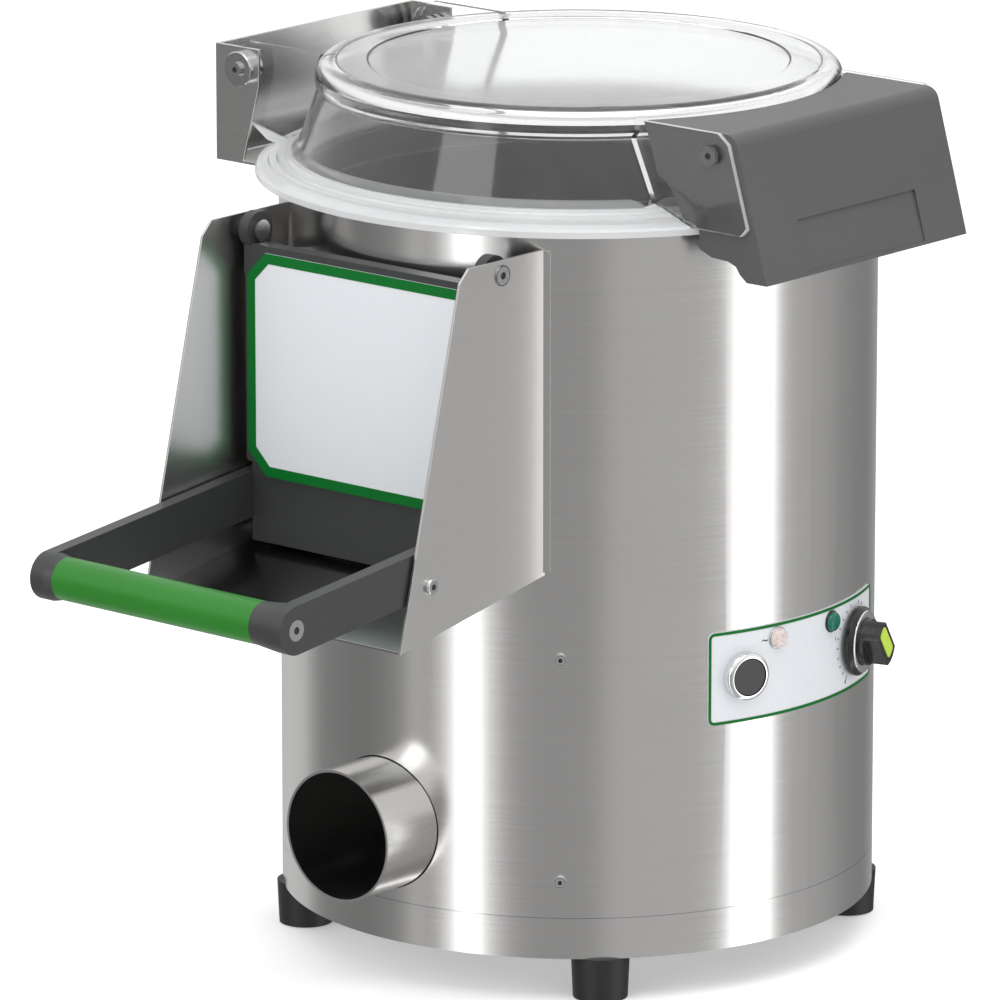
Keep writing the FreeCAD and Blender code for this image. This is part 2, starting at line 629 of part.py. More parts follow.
def make_disc():
    """Abrasive disc with ripples, its wipers and its nut."""
    bore = S["shaft_radius"] + S["running_gap"]
    top = S["disc_low"] + S["disc_thick"]
    stud_bore = S["stud_radius"] + S["running_gap"]
    seat = S["disc_low"] + S["disc_thick"] / 2
    disc = turned("disc_turned", [
        (bore, S["disc_hub_low"]), (S["disc_hub_radius"], S["disc_hub_low"]), (S["disc_hub_radius"], S["disc_low"]),
        (S["disc_radius"], S["disc_low"]), (S["disc_radius"], top + S["disc_dish"]),
        (S["disc_radius"] * 0.8, top), (stud_bore, top), (stud_bore, seat), (bore, seat),
    ])
    ripples = []
    for index in range(3):
        inner = number("nut_radius") + 12
        outer = number("disc_radius") * 0.8 - 2
        crest = Part.makeCylinder(number("ripple_width"), outer - inner, Vector(inner, 0, 0), Vector(1, 0, 0))
        sink = number("ripple_width") - number("ripple_height")
        crest.translate(Vector(0, 0, float(top) - sink))
        keep_above = Part.makeBox(FAR, FAR, FAR, Vector(0, -FAR / 2, float(top) - 1))
        crest = crest.common(keep_above)
        crest.rotate(Vector(), Vector(0, 0, 1), 120 * index)
        ripples.append(shaped(f"ripple_{index}", crest))
    keep("abrasive_disc", join("disc_join", disc, *ripples))
    wipers = []
    for index in range(3):
        inner = number("disc_hub_radius") + 2
        outer = number("disc_radius") - 8
        blade = Part.makeBox(outer - inner, number("wiper_thick"), number("disc_low") - number("wiper_low"),
                             Vector(inner, -number("wiper_thick") / 2, number("wiper_low")))
        blade.rotate(Vector(), Vector(0, 0, 1), 60 + 120 * index)
        wipers.append(blade)
    keep("disc_wipers", shaped("disc_wipers", Part.makeCompound(wipers)))
    nut_top = top + S["nut_height"]
    nut = turned("nut_turned", [
        (stud_bore, top), (S["nut_radius"], top), (S["nut_radius"], top + S["nut_height"] * 0.5),
        (S["nut_radius"] * 0.6, nut_top - 1), (ZERO, nut_top), (ZERO, nut_top - 4), (stud_bore, nut_top - 4),
    ])
    keep("disc_nut", nut)
    shaft = turned("shaft_turned", [
        (ZERO, S["shaft_low"]), (S["shaft_radius"], S["shaft_low"]), (S["shaft_radius"], seat),
        (S["stud_radius"], seat), (S["stud_radius"], nut_top - 5), (ZERO, nut_top - 5),
    ])
    keep("drive_shaft", shaft)


def make_bearings():
    """Housing under the drum floor with two bearings, a spacer and the shaft seal."""
    bore = S["bearing_radius"] + S["running_gap"]
    under = S["drum_floor"]
    housing = turned("housing_turned", [
        (bore, S["housing_low"]), (S["housing_radius"], S["housing_low"]),
        (S["housing_radius"], under - S["housing_flange_thick"]),
        (S["housing_flange_radius"], under - S["housing_flange_thick"]), (S["housing_flange_radius"], under),
        (S["seal_radius"] + S["running_gap"], under), (S["seal_radius"] + S["running_gap"], S["seal_low"]),
        (bore, S["seal_low"] - S["pan_thick"]),
    ])
    keep("bearing_housing", housing)
    inner = S["shaft_radius"] + S["running_gap"]
    for label, low in (("upper_bearing", S["upper_bearing_low"]), ("lower_bearing", S["lower_bearing_low"])):
        high = low + S["bearing_width"]
        groove = (S["bearing_radius"] + S["shaft_radius"]) / 2
        keep(label, turned(label + "_turned", [
            (inner, low), (groove - 3, low), (groove - 3, low + 1), (groove + 3, low + 1), (groove + 3, low),
            (S["bearing_radius"], low), (S["bearing_radius"], high), (groove + 3, high), (groove + 3, high - 1),
            (groove - 3, high - 1), (groove - 3, high), (inner, high),
        ]))
    spacer_inner = S["bearing_radius"] - S["pan_thick"] * 2
    spacer_low = S["lower_bearing_low"] + S["bearing_width"]
    keep("bearing_spacer", turned("spacer_turned", [
        (spacer_inner, spacer_low), (S["bearing_radius"], spacer_low),
        (S["bearing_radius"], S["upper_bearing_low"]), (spacer_inner, S["upper_bearing_low"]),
    ]))
    keep("shaft_seal", turned("seal_turned", [
        (inner, S["seal_low"] + 4), (S["seal_radius"], S["seal_low"] + 4), (S["seal_radius"], under + 1),
        (inner + 3, under + 1), (inner + 2, S["seal_low"] + 6), (inner, S["seal_low"] + 6),
    ]))


def pulley(name, radius, bore, hub):
    """A pulley with one belt groove, turned about the drum axis."""
    low = S["pulley_low"]
    high = low + S["pulley_width"]
    middle = low + S["pulley_width"] / 2
    return turned(name, [
        (bore, low), (radius, low), (radius, middle - S["groove_half"]),
        (radius - S["groove_depth"], middle - S["groove_foot"]), (radius - S["groove_depth"], middle + S["groove_foot"]),
        (radius, middle + S["groove_half"]), (radius, high), (hub, high), (bore, high),
    ])


def make_belt_drive():
    """Driven pulley, motor pulley and the belt round both."""
    driven = pulley("driven_turned", S["pulley_radius"], S["shaft_radius"] + S["running_gap"], S["housing_radius"])
    window = []
    for index in range(6):
        spot = rod(f"pulley_window_{index}", S["pulley_radius"] / 5, S["pulley_low"],
                   S["pulley_low"] + S["pulley_width"],
                   S["pulley_radius"] * (0.55 * math.cos(math.pi * index / 3)),
                   S["pulley_radius"] * (0.55 * math.sin(math.pi * index / 3)))
        window.append(spot)
    keep("driven_pulley", cut("driven_cut", driven, join("pulley_windows", *window)))
    small = pulley("motor_pulley_turned", S["motor_pulley_radius"], S["motor_shaft_radius"] + S["running_gap"],
                   S["motor_shaft_radius"] + 4)
    small.setExpression("Placement.Base.y", S["motor_offset"].text)
    keep("motor_pulley", small)
    keep("drive_belt", shaped("drive_belt", belt_shape()))


def belt_shape():
    """A closed belt: two arcs and two tangent runs, its section kept clear of both grooves."""
    middle = number("pulley_low") + number("pulley_width") / 2
    depth = number("groove_depth")
    gap = number("belt_gap")
    slope = (number("groove_half") - number("groove_foot")) / depth
    foot_half = number("groove_foot") - gap + slope * gap

    def loop(inset, height):
        big = number("pulley_radius") - depth + inset
        small = number("motor_pulley_radius") - depth + inset
        distance = number("motor_offset")
        tilt = math.asin((big - small) / distance)
        big_x, big_y = big * math.cos(tilt), big * math.sin(tilt)
        small_x, small_y = small * math.cos(tilt), distance + small * math.sin(tilt)
        corners = [Vector(big_x, big_y, height), Vector(small_x, small_y, height),
                   Vector(-small_x, small_y, height), Vector(-big_x, big_y, height)]
        edges = [
            Part.LineSegment(corners[0], corners[1]).toShape(),
            Part.Arc(corners[1], Vector(0, distance + small, height), corners[2]).toShape(),
            Part.LineSegment(corners[2], corners[3]).toShape(),
            Part.Arc(corners[3], Vector(0, -big, height), corners[0]).toShape(),
        ]
        return Part.Wire(edges)

    def prism(inset, half):
        return Part.Face(loop(inset, middle - half)).extrude(Vector(0, 0, 2 * half))

    outer = prism(gap + number("belt_thick"), foot_half)
    return outer.cut(prism(gap, foot_half + 1))


def make_motor():
    """Motor body, rotor with shaft, plate, posts and capacitor."""
    low = S["motor_low"]
    high = low + S["motor_height"]
    bore = S["motor_shaft_radius"] + S["running_gap"]
    cap = S["motor_cap"]
    body = turned("motor_turned", [
        (bore, low), (S["motor_radius"], low), (S["motor_radius"], high), (bore, high), (bore, high - cap),
        (S["motor_bore"], high - cap), (S["motor_bore"], low + cap), (bore, low + cap),
    ])
    body.setExpression("Placement.Base.y", S["motor_offset"].text)
    slots = []
    for index in range(int(number("fin_count"))):
        slot = Part.makeBox(number("fin_depth") + 2, number("fin_depth"), number("motor_height") - 5 * number("motor_cap"),
                            Vector(number("motor_radius") - number("fin_depth"), -number("fin_depth") / 2,
                                   number("motor_low") + 2.5 * number("motor_cap")))
        slot.rotate(Vector(), Vector(0, 0, 1), 360 / number("fin_count") * index)
        slot.translate(Vector(0, number("motor_offset"), 0))
        slots.append(slot)
    keep("motor_body", cut("motor_cut", body, shaped("motor_slots", Part.makeCompound(slots))))
    core_low = low + cap + S["rotor_gap"]
    core_high = high - cap - S["rotor_gap"]
    rotor = turned("rotor_turned", [
        (ZERO, S["pulley_low"]), (S["motor_shaft_radius"], S["pulley_low"]), (S["motor_shaft_radius"], core_low),
        (S["rotor_radius"], core_low), (S["rotor_radius"], core_high), (S["motor_shaft_radius"], core_high),
        (S["motor_shaft_radius"], high + 4), (ZERO, high + 4),
    ])
    rotor.setExpression("Placement.Base.y", S["motor_offset"].text)
    keep("motor_rotor", rotor)
    plate_low = low - S["plate_thick"]
    plate = block("motor_plate_blank",
                  (-S["plate_half"], S["motor_offset"] - S["plate_depth"], plate_low),
                  (S["plate_half"], S["motor_offset"] + S["plate_depth"], low))
    eye = rod("motor_plate_eye", S["motor_shaft_radius"] * 2, plate_low, low, ZERO, S["motor_offset"])
    keep("motor_plate", cut("motor_plate_cut", plate, eye))
    posts = []
    for side_x in (1, -1):
        for side_y in (1, -1):
            posts.append(rod(f"post_{side_x + 1}_{side_y + 1}", S["post_radius"],
                             S["foot_height"] + S["pan_thick"], plate_low,
                             S["post_x"] * side_x, S["motor_offset"] + S["post_y"] * side_y))
    keep("motor_posts", group("post_group", *posts))
    pan_top = S["foot_height"] + S["pan_thick"]
    keep("run_capacitor", rod("capacitor", S["capacitor_radius"], pan_top, pan_top + S["capacitor_height"],
                              S["capacitor_x"], S["capacitor_y"]))


# Drain

def make_drain():
    """Elbow from the drum floor to the front: a straight fall, a quarter bend and the spout."""
    start, bend, axis = number("drain_start"), number("drain_bend"), number("drain_axis")
    top = number("drum_floor")

    def pipe(radius):
        fall = Part.makeCylinder(radius, top - axis - bend, Vector(0, bend - start, axis + bend))
        spout = Part.makeCylinder(radius, number("drain_mouth") - start, Vector(0, -start, axis), Vector(0, -1, 0))
        circle = Part.Wire(Part.Circle(Vector(0, -start, axis), Vector(0, -1, 0), radius).toShape())
        elbow = Part.Face(circle).revolve(Vector(0, -start, axis + bend), Vector(1, 0, 0), 90)
        return fall.fuse([elbow, spout])

    drain = pipe(number("drain_radius")).cut(pipe(number("drain_radius") - number("drain_wall")))
    keep("drain_pipe", shaped("drain_pipe", drain))


# Chute and discharge opening

def chute_height(y):
    """Height of the lower edge of the side plates at a distance y in front of the drum axis."""
    rise = (number("chute_back") - number("chute_low")) / (number("chute_low_front") - number("chute_back_y"))
    return number("chute_low") + (number("chute_low_front") - y) * rise


def make_chute():
    """Two side plates bent along the shell, and the sloping floor between them."""
    inner = number("plate_inner")
    thick = number("shell_wall")
    gap = number("wall_gap")
    shell = Part.makeCylinder(number("body_radius") + gap, FAR * 2)
    corner = number("plate_corner")
    top, top_front = number("chute_top"), number("chute_top_front")
    low_front, low = number("chute_low_front"), number("chute_low")
    back = number("chute_back_y") - 20
    blank = polygon_prism([
        Vector(inner, -back, top), Vector(inner, -top_front + corner, top), Vector(inner, -top_front, top - corner),
        Vector(inner, -low_front, low), Vector(inner, -back, chute_height(back)),
    ], Vector(thick, 0, 0))
    plate = blank.cut(shell)
    start = math.degrees(math.asin(inner / (number("body_radius") + gap))) - 90
    flange = ring_sector(number("body_radius") + gap, number("body_radius") + gap + thick,
                         chute_height(number("chute_back_y")) + 1, top - 1, start + 0.02,
                         start + math.degrees(number("plate_flange") / number("body_radius")))
    screw_hole = Part.makeCylinder(number("pivot_radius") + 0.1, 10,
                                   Vector(inner - 2, -number("pivot_y"), number("pivot_z")), Vector(1, 0, 0))
    low_hole = Part.makeCylinder(number("screw_shank") + 0.1, 10,
                                 Vector(inner - 2, -number("chute_screw_y"), number("chute_screw_z")), Vector(1, 0, 0))
    right = plate.fuse(flange).cut([screw_hole, low_hole]).removeSplitter()
    keep("chute_side_right", shaped("chute_side_right", right))
    keep("chute_side_left", shaped("chute_side_left", right.mirror(Vector(), Vector(1, 0, 0))))
    floor = polygon_prism([
        Vector(-inner, -low_front, low), Vector(-inner, -low_front, low + thick),
        Vector(-inner, -back, chute_height(back) + thick), Vector(-inner, -back, chute_height(back)),
    ], Vector(2 * inner, 0, 0))
    keep("chute_floor", shaped("chute_floor", floor.cut(shell)))
    screws = []
    for side in (1, -1):
        place = Vector(side * (inner + thick), -number("chute_screw_y"), number("chute_screw_z"))
        outwards = Vector(side, 0, 0)
        head = Part.makeCylinder(5.0, 2.6, place, outwards)
        head = head.makeFillet(1.2, [head.Edges[0]]) if side > 0 else head
        socket = Part.makeCylinder(1.8, 5, place + outwards * 1.2, outwards)
        shank = Part.makeCylinder(number("screw_shank"), thick + 0.3, place - outwards * (thick + 0.3), outwards)
        screws.append(head.fuse(shank).cut(socket).removeSplitter())
    keep("chute_screws", shaped("chute_screws", Part.makeCompound(screws)))


def make_throat():
    """Frame of the discharge opening between drum and shell, and the rubber gasket on its front edge."""
    wall = number("throat_wall")
    front = number("throat_front")
    frame = throat_box(wall, front, 0).cut(throat_box(0, front + 1, -1))
    frame = frame.cut(Part.makeCylinder(number("drum_radius") - number("shell_wall") - 0.2, FAR * 2))
    keep("discharge_frame", shaped("discharge_frame", frame))
    gasket = throat_box(number("gasket_width") - 1, front + number("gasket_thick"), front)
    gasket = gasket.cut(throat_box(-1, front + 10, 0))
    keep("door_gasket", shaped("door_gasket", gasket))


# Door with its tray handle

def arm_shape():
    """Side outline of a tray arm, as a flat face at x = 0."""
    centre = Vector(0, -number("grip_y"), number("grip_z"))
    radius = number("arm_end_radius")
    back_high = Vector(0, -number("arm_back"), number("arm_back_high"))
    back_low = Vector(0, -number("arm_back"), number("arm_back_low"))

    def tangent(point, side):
        """The point of the rounded end where a line from the given point touches it."""
        along = point - centre
        reach = along.Length
        base = math.atan2(along.z, along.y)
        spread = math.acos(radius / reach) * side
        return centre + Vector(0, math.cos(base + spread), math.sin(base + spread)) * radius

    upper = tangent(back_high, 1)
    lower = tangent(back_low, -1)
    tip = centre + Vector(0, -radius, 0)
    edges = [
        Part.LineSegment(back_low, back_high).toShape(),
        Part.LineSegment(back_high, upper).toShape(),
        Part.Arc(upper, tip, lower).toShape(),
        Part.LineSegment(lower, back_low).toShape(),
    ]
    return Part.Face(Part.Wire(edges))


def make_door():
    """Door casting: plates, lugs, arms and grip sockets, with the pieces fixed to it."""
    front, thick = number("door_front"), number("door_thick")
    half = number("door_half")
    top, low_edge, bottom = number("door_top"), number("door_break"), number("door_bottom")
    step = number("door_step")
    arm_in, arm_out = number("arm_inner"), number("arm_outer")
    upper = Part.makeBox(2 * half, thick, top - low_edge, Vector(-half, -front, low_edge))
    upper = upper.makeFillet(2.0, [e for e in upper.Edges if abs(e.BoundBox.YMax - e.BoundBox.YMin - thick) < 0.01])
    lower = Part.makeBox(2 * arm_in + 2, thick - step, low_edge - bottom + 1, Vector(-arm_in - 1, -front + step, bottom))
    pieces = [upper, lower]
    pivot = Vector(0, -number("pivot_y"), number("pivot_z"))
    radius = number("lug_radius")
    grip = Vector(0, -number("grip_y"), number("grip_z"))
    for side in (1, -1):
        outwards = Vector(side, 0, 0)
        arm = arm_shape()
        arm.translate(Vector(side * arm_in, 0, 0))
        pieces.append(arm.extrude(outwards * (arm_out - arm_in)))
        lug_in, lug_out = number("lug_inner"), number("lug_outer")
        eye = Part.makeCylinder(radius, lug_out - lug_in, pivot + outwards * lug_in, outwards)
        web = polygon_prism([
            Vector(side * lug_in, pivot.y - radius * 0.6, pivot.z), Vector(side * lug_in, pivot.y + radius, pivot.z),
            Vector(side * lug_in, -front + thick + 4, number("lug_foot")),
            Vector(side * lug_in, -front + 1, number("lug_foot")),
            Vector(side * lug_in, -front + 1, top - 2),
        ], outwards * (lug_out - lug_in))
        pieces += [eye, web]
        reach = number("grip_right") if side > 0 else number("grip_left")
        pieces.append(Part.makeCone(number("grip_radius"), number("arm_end_radius"), arm_in - reach,
                                    grip + outwards * reach, outwards))
    casting = pieces[0].fuse(pieces[1:]).removeSplitter()
    holes = []
    for side in (1, -1):
        outwards = Vector(side, 0, 0)
        holes.append(Part.makeCylinder(number("pivot_radius") + number("running_gap"), 20,
                                       pivot + outwards * (number("lug_inner") - 2), outwards))
        holes.append(Part.makeCylinder(number("screw_shank") + 0.6, 60, grip + outwards * 50, outwards))
        holes.append(Part.makeCone(number("screw_shank") + 0.6, 6.4, 3.8, grip + outwards * (arm_out - 3.75), outwards))
    keep("door_casting", shaped("door_casting", casting.cut(holes)))
    make_door_pieces(grip, pivot)


def label_outline(half, low, high, cut_x, cut_z, y):
    """Rectangle with its corners cut off, in the door plane."""
    return [Vector(-half + cut_x, y, low), Vector(half - cut_x, y, low), Vector(half, y, low + cut_z),
            Vector(half, y, high - cut_z), Vector(half - cut_x, y, high), Vector(-half + cut_x, y, high),
            Vector(-half, y, high - cut_z), Vector(-half, y, low + cut_z)]


def make_door_pieces(grip, pivot):
    """Label plate, plug, grip tube and screws of the door, and the pivot bolts in the side plates."""
    label = slab("door_label_plate", "XZ_Plane", [
        (-S["label_half"] + S["label_cut_x"], S["label_low"]), (S["label_half"] - S["label_cut_x"], S["label_low"]),
        (S["label_half"], S["label_low"] + S["label_cut_z"]), (S["label_half"], S["label_high"] - S["label_cut_z"]),
        (S["label_half"] - S["label_cut_x"], S["label_high"]), (-S["label_half"] + S["label_cut_x"], S["label_high"]),
        (-S["label_half"], S["label_high"] - S["label_cut_z"]), (-S["label_half"], S["label_low"] + S["label_cut_z"]),
    ], -S["door_front"] - S["label_thick"], -S["door_front"])
    keep("door_label", label)
    back = number("door_front") - number("door_thick")
    half, wall = number("plug_half"), number("plug_wall")
    low, high = number("plug_low"), number("plug_high")
    plug = Part.makeBox(2 * half, back - 100, high - low, Vector(-half, -back, low))
    hollow = Part.makeBox(2 * (half - wall), back - 100, high - low - 2 * wall, Vector(-half + wall, -back - 1, low + wall))
    inner = Part.makeCylinder(number("plug_radius"), FAR * 2)
    shell = Part.makeCylinder(number("plug_radius") + wall, FAR * 2)
    keep("door_plug", shaped("door_plug", plug.cut(inner).cut(hollow.cut(shell))))
    tube = cut("grip_tube_cut", rod("grip_outer", S["grip_radius"], -S["grip_left"], S["grip_right"],
                                    -S["grip_y"], S["grip_z"], "X"),
               rod("grip_inner", S["grip_bore"], -S["grip_left"], S["grip_right"], -S["grip_y"], S["grip_z"], "X"))
    keep("grip_tube", tube)
    screws, bolts, bushes = [], [], []
    arm_out = number("arm_outer")
    for side in (1, -1):
        outwards = Vector(side, 0, 0)
        reach = number("grip_right") if side > 0 else number("grip_left")
        head = Part.makeCone(number("screw_shank") + 0.2, 6.2, 3.5, grip + outwards * (arm_out - 3.6), outwards)
        socket = Part.makeCylinder(2.2, 4, grip + outwards * (arm_out - 3.0), outwards)
        tip = Part.makeCylinder(number("screw_shank"), arm_out - 1 - reach, grip + outwards * reach, outwards)
        screws.append(head.fuse(tip).cut(socket).removeSplitter())
        plate = number("plate_inner")
        sheet_wall = number("shell_wall")
        pin = Part.makeCylinder(number("pivot_radius"), plate + sheet_wall - number("lug_inner") + 2,
                                pivot + outwards * (number("lug_inner") - 2), outwards)
        disc = Part.makeCylinder(number("pivot_head_radius"), 0.8, pivot + outwards * (plate + sheet_wall), outwards)
        hexagon = Part.makeCylinder(2.2, 5, pivot + outwards * (plate + sheet_wall - 2.0), outwards)
        end = Part.makeCylinder(number("pivot_radius") + 2.4, 2.0, pivot + outwards * (number("lug_inner") - 2.4), outwards)
        bolts.append(pin.fuse([disc, end]).cut(hexagon).removeSplitter())
        bush = Part.makeCylinder(number("bush_radius"), plate - number("lug_outer") - 0.4,
                                 pivot + outwards * (number("lug_outer") + 0.3), outwards)
        bushes.append(bush.cut(Part.makeCylinder(number("pivot_radius") + 0.1, 20, pivot + outwards * 90, outwards)))
    keep("grip_screws", shaped("grip_screws", Part.makeCompound(screws)))
    keep("pivot_bolts", shaped("pivot_bolts", Part.makeCompound(bolts)))
    keep("pivot_bushes", shaped("pivot_bushes", Part.makeCompound(bushes)))


# Lid

def lid_profile():
    """Outer and inner half sections of the clear lid, as two lists of edges' corner points."""
    wall = number("lid_wall")
    top = number("lid_top")
    step = number("lid_step")
    line = number("lid_inner_line")
    shoulder = number("lid_shoulder")
    roundness = number("shoulder_round")
    bead = number("bead_low")
    ring_top = number("ring_top")
    ring_radius = number("ring_radius")
    cone_low = number("cone_low")
    outer = [
        Vector(0, 0, top - step), Vector(line - 0.6, 0, top - step), Vector(line + 0.6, 0, top),
        Vector(shoulder - roundness - 1, 0, top),
    ]
    bend_mid = Vector(shoulder - 0.3 * roundness - 0.3, 0, top - 0.26 * roundness)
    bend_end = Vector(shoulder, 0, top - roundness)
    lower = [
        bend_end, Vector(shoulder, 0, bead + 2), Vector(number("cone_top") + 0.4, 0, bead),
        Vector(number("cone_top"), 0, bead - 2), Vector(cone_low, 0, number("cone_low_z")),
        Vector(cone_low + 4, 0, ring_top),
    ]
    ridges = []
    steps = 3
    inner_edge, outer_edge = cone_low + 7, ring_radius - 3.5
    drop = (ring_top - (number("ring_low") + 6)) / steps
    width = (outer_edge - inner_edge) / steps
    for index in range(steps):
        r = inner_edge + width * index
        z = ring_top - drop * index
        ridges += [Vector(r, 0, z), Vector(r + 1, 0, z - drop * 0.75), Vector(r + width - 0.8, 0, z - drop)]
    ridges += [Vector(ring_radius - 1.2, 0, number("ring_low") + 5), Vector(ring_radius, 0, number("ring_low") + 3.6),
               Vector(ring_radius, 0, number("ring_low"))]
    under = [
        Vector(ring_radius - number("lip_wall"), 0, number("ring_low")),
        Vector(ring_radius - number("lip_wall"), 0, number("ring_under")),
        Vector(cone_low - wall + 1.5, 0, number("ring_under")),
        Vector(cone_low - wall, 0, number("cone_low_z")),
        Vector(number("cone_top") - wall, 0, bead - 2),
        Vector(shoulder - wall - 1, 0, bead + 3), Vector(shoulder - wall - 1, 0, top - roundness),
        Vector(shoulder - wall - roundness, 0, top - wall - step), Vector(0, 0, top - wall - step),
    ]
    return outer, bend_mid, lower + ridges, under


def chain(points):
    return [Part.LineSegment(a, b).toShape() for a, b in zip(points, points[1:])]


def lid_solids():
    """The lid's own solid, the space under it and the outer envelope, all turned about the drum axis."""
    outer, bend_mid, lower, under = lid_profile()
    arc = Part.Arc(outer[-1], bend_mid, lower[0]).toShape()
    shell_edges = chain(outer) + [arc] + chain(lower + under + [outer[0]])
    axis = (Vector(), Vector(0, 0, 1), 360)
    shell = Part.Face(Part.Wire(shell_edges)).revolve(*axis)
    floor = number("ring_low") - 20
    low_edge = Vector(under[0].x, 0, floor)
    cavity_edges = chain([Vector(0, 0, floor), low_edge] + under + [Vector(0, 0, floor)])
    cavity = Part.Face(Part.Wire(cavity_edges)).revolve(*axis)
    envelope_edges = chain(outer) + [arc] + chain(lower + [Vector(number("ring_radius"), 0, floor + 17),
                                                           Vector(0, 0, floor + 17), outer[0]])
    envelope = Part.Face(Part.Wire(envelope_edges)).revolve(*axis)
    return shell, cavity, envelope


def handle_wing(side):
    """Clear wing beside the grey handle."""
    top, low = number("wing_top"), number("wing_low")
    top_x, low_x = number("wing_top_x"), number("wing_low_x")
    y = number("wing_inner") * side if side > 0 else -number("wing_inner") - number("wing_thick")
    points = [Vector(60, y, top), Vector(top_x, y, top), Vector(top_x + 7.5, y, top - 6), Vector(low_x, y, low + 4),
              Vector(low_x - 4, y, low), Vector(60, y, low)]
    wing = polygon_prism(points, Vector(0, number("wing_thick"), 0))
    upright = [e for e in wing.Edges if e.BoundBox.YLength > 1 and e.BoundBox.XMin > 100]
    return wing.makeFillet(2.2, upright)


def hinge_wing(side):
    """Clear wing that carries the lid on the hinge pins."""
    x, z, eye = -number("hinge_x"), number("hinge_z"), number("hinge_eye")
    y = number("hinge_wing_inner") if side > 0 else -number("hinge_wing_inner") - number("wing_thick") - 1
    thick = number("wing_thick") + 1
    top = number("hinge_wing_top")
    round_end = Part.makeCylinder(eye, thick, Vector(x, y, z), Vector(0, 1, 0))
    plate = polygon_prism([
        Vector(-60, y, top), Vector(x + 2, y, top), Vector(x - eye * 0.6, y, z + eye * 0.8), Vector(x - eye, y, z),
        Vector(x - eye * 0.72, y, z - eye * 0.7), Vector(x + 2, y, z - 33), Vector(x + 16, y, z - 42.5),
        Vector(x + 30, y, number("ring_under") + 1), Vector(-60, y, number("ring_under") + 1),
    ], Vector(0, thick, 0))
    hole = Part.makeCylinder(number("hinge_pin_radius") + number("running_gap"), thick + 2,
                             Vector(x, y - 1, z), Vector(0, 1, 0))
    return plate.fuse(round_end).cut(hole)


def make_lid():
    """Clear lid with its four wings, the lid gasket, the grey handle and its screws."""
    shell, cavity, envelope = lid_solids()
    wings = [handle_wing(1), handle_wing(-1), hinge_wing(1), hinge_wing(-1)]
    wings = [wing.cut(cavity) for wing in wings]
    lid = shell.fuse(wings)
    bores = []
    for side in (1, -1):
        bores.append(Part.makeCylinder(number("screw_shank") + 0.1, 30,
                                       Vector(number("handle_screw_x"), side * 80, number("handle_screw_z")),
                                       Vector(0, side, 0)))
    keep("clear_lid", shaped("clear_lid", lid.cut(bores).removeSplitter()))
    gasket = turned("lid_gasket_ring", [
        (S["gasket_inner"], S["body_top"] + S["seat_gap"]), (S["gasket_outer"], S["body_top"] + S["seat_gap"]),
        (S["gasket_outer"], S["ring_under"]), (S["gasket_inner"], S["ring_under"]),
    ])
    keep("lid_gasket", gasket)
    make_handle(envelope)


def handle_outline(inset):
    """Side outline of the grey handle, its top and outer face moved in by the inset."""
    top = number("handle_top") - inset
    top_x = number("handle_top_x")
    low_x = number("handle_low_x")
    low = number("handle_low")
    lean = (low_x - top_x) / (number("handle_top") - low)
    shift = inset * math.sqrt(1 + lean * lean)
    return top, top_x, low_x, low, lean, shift


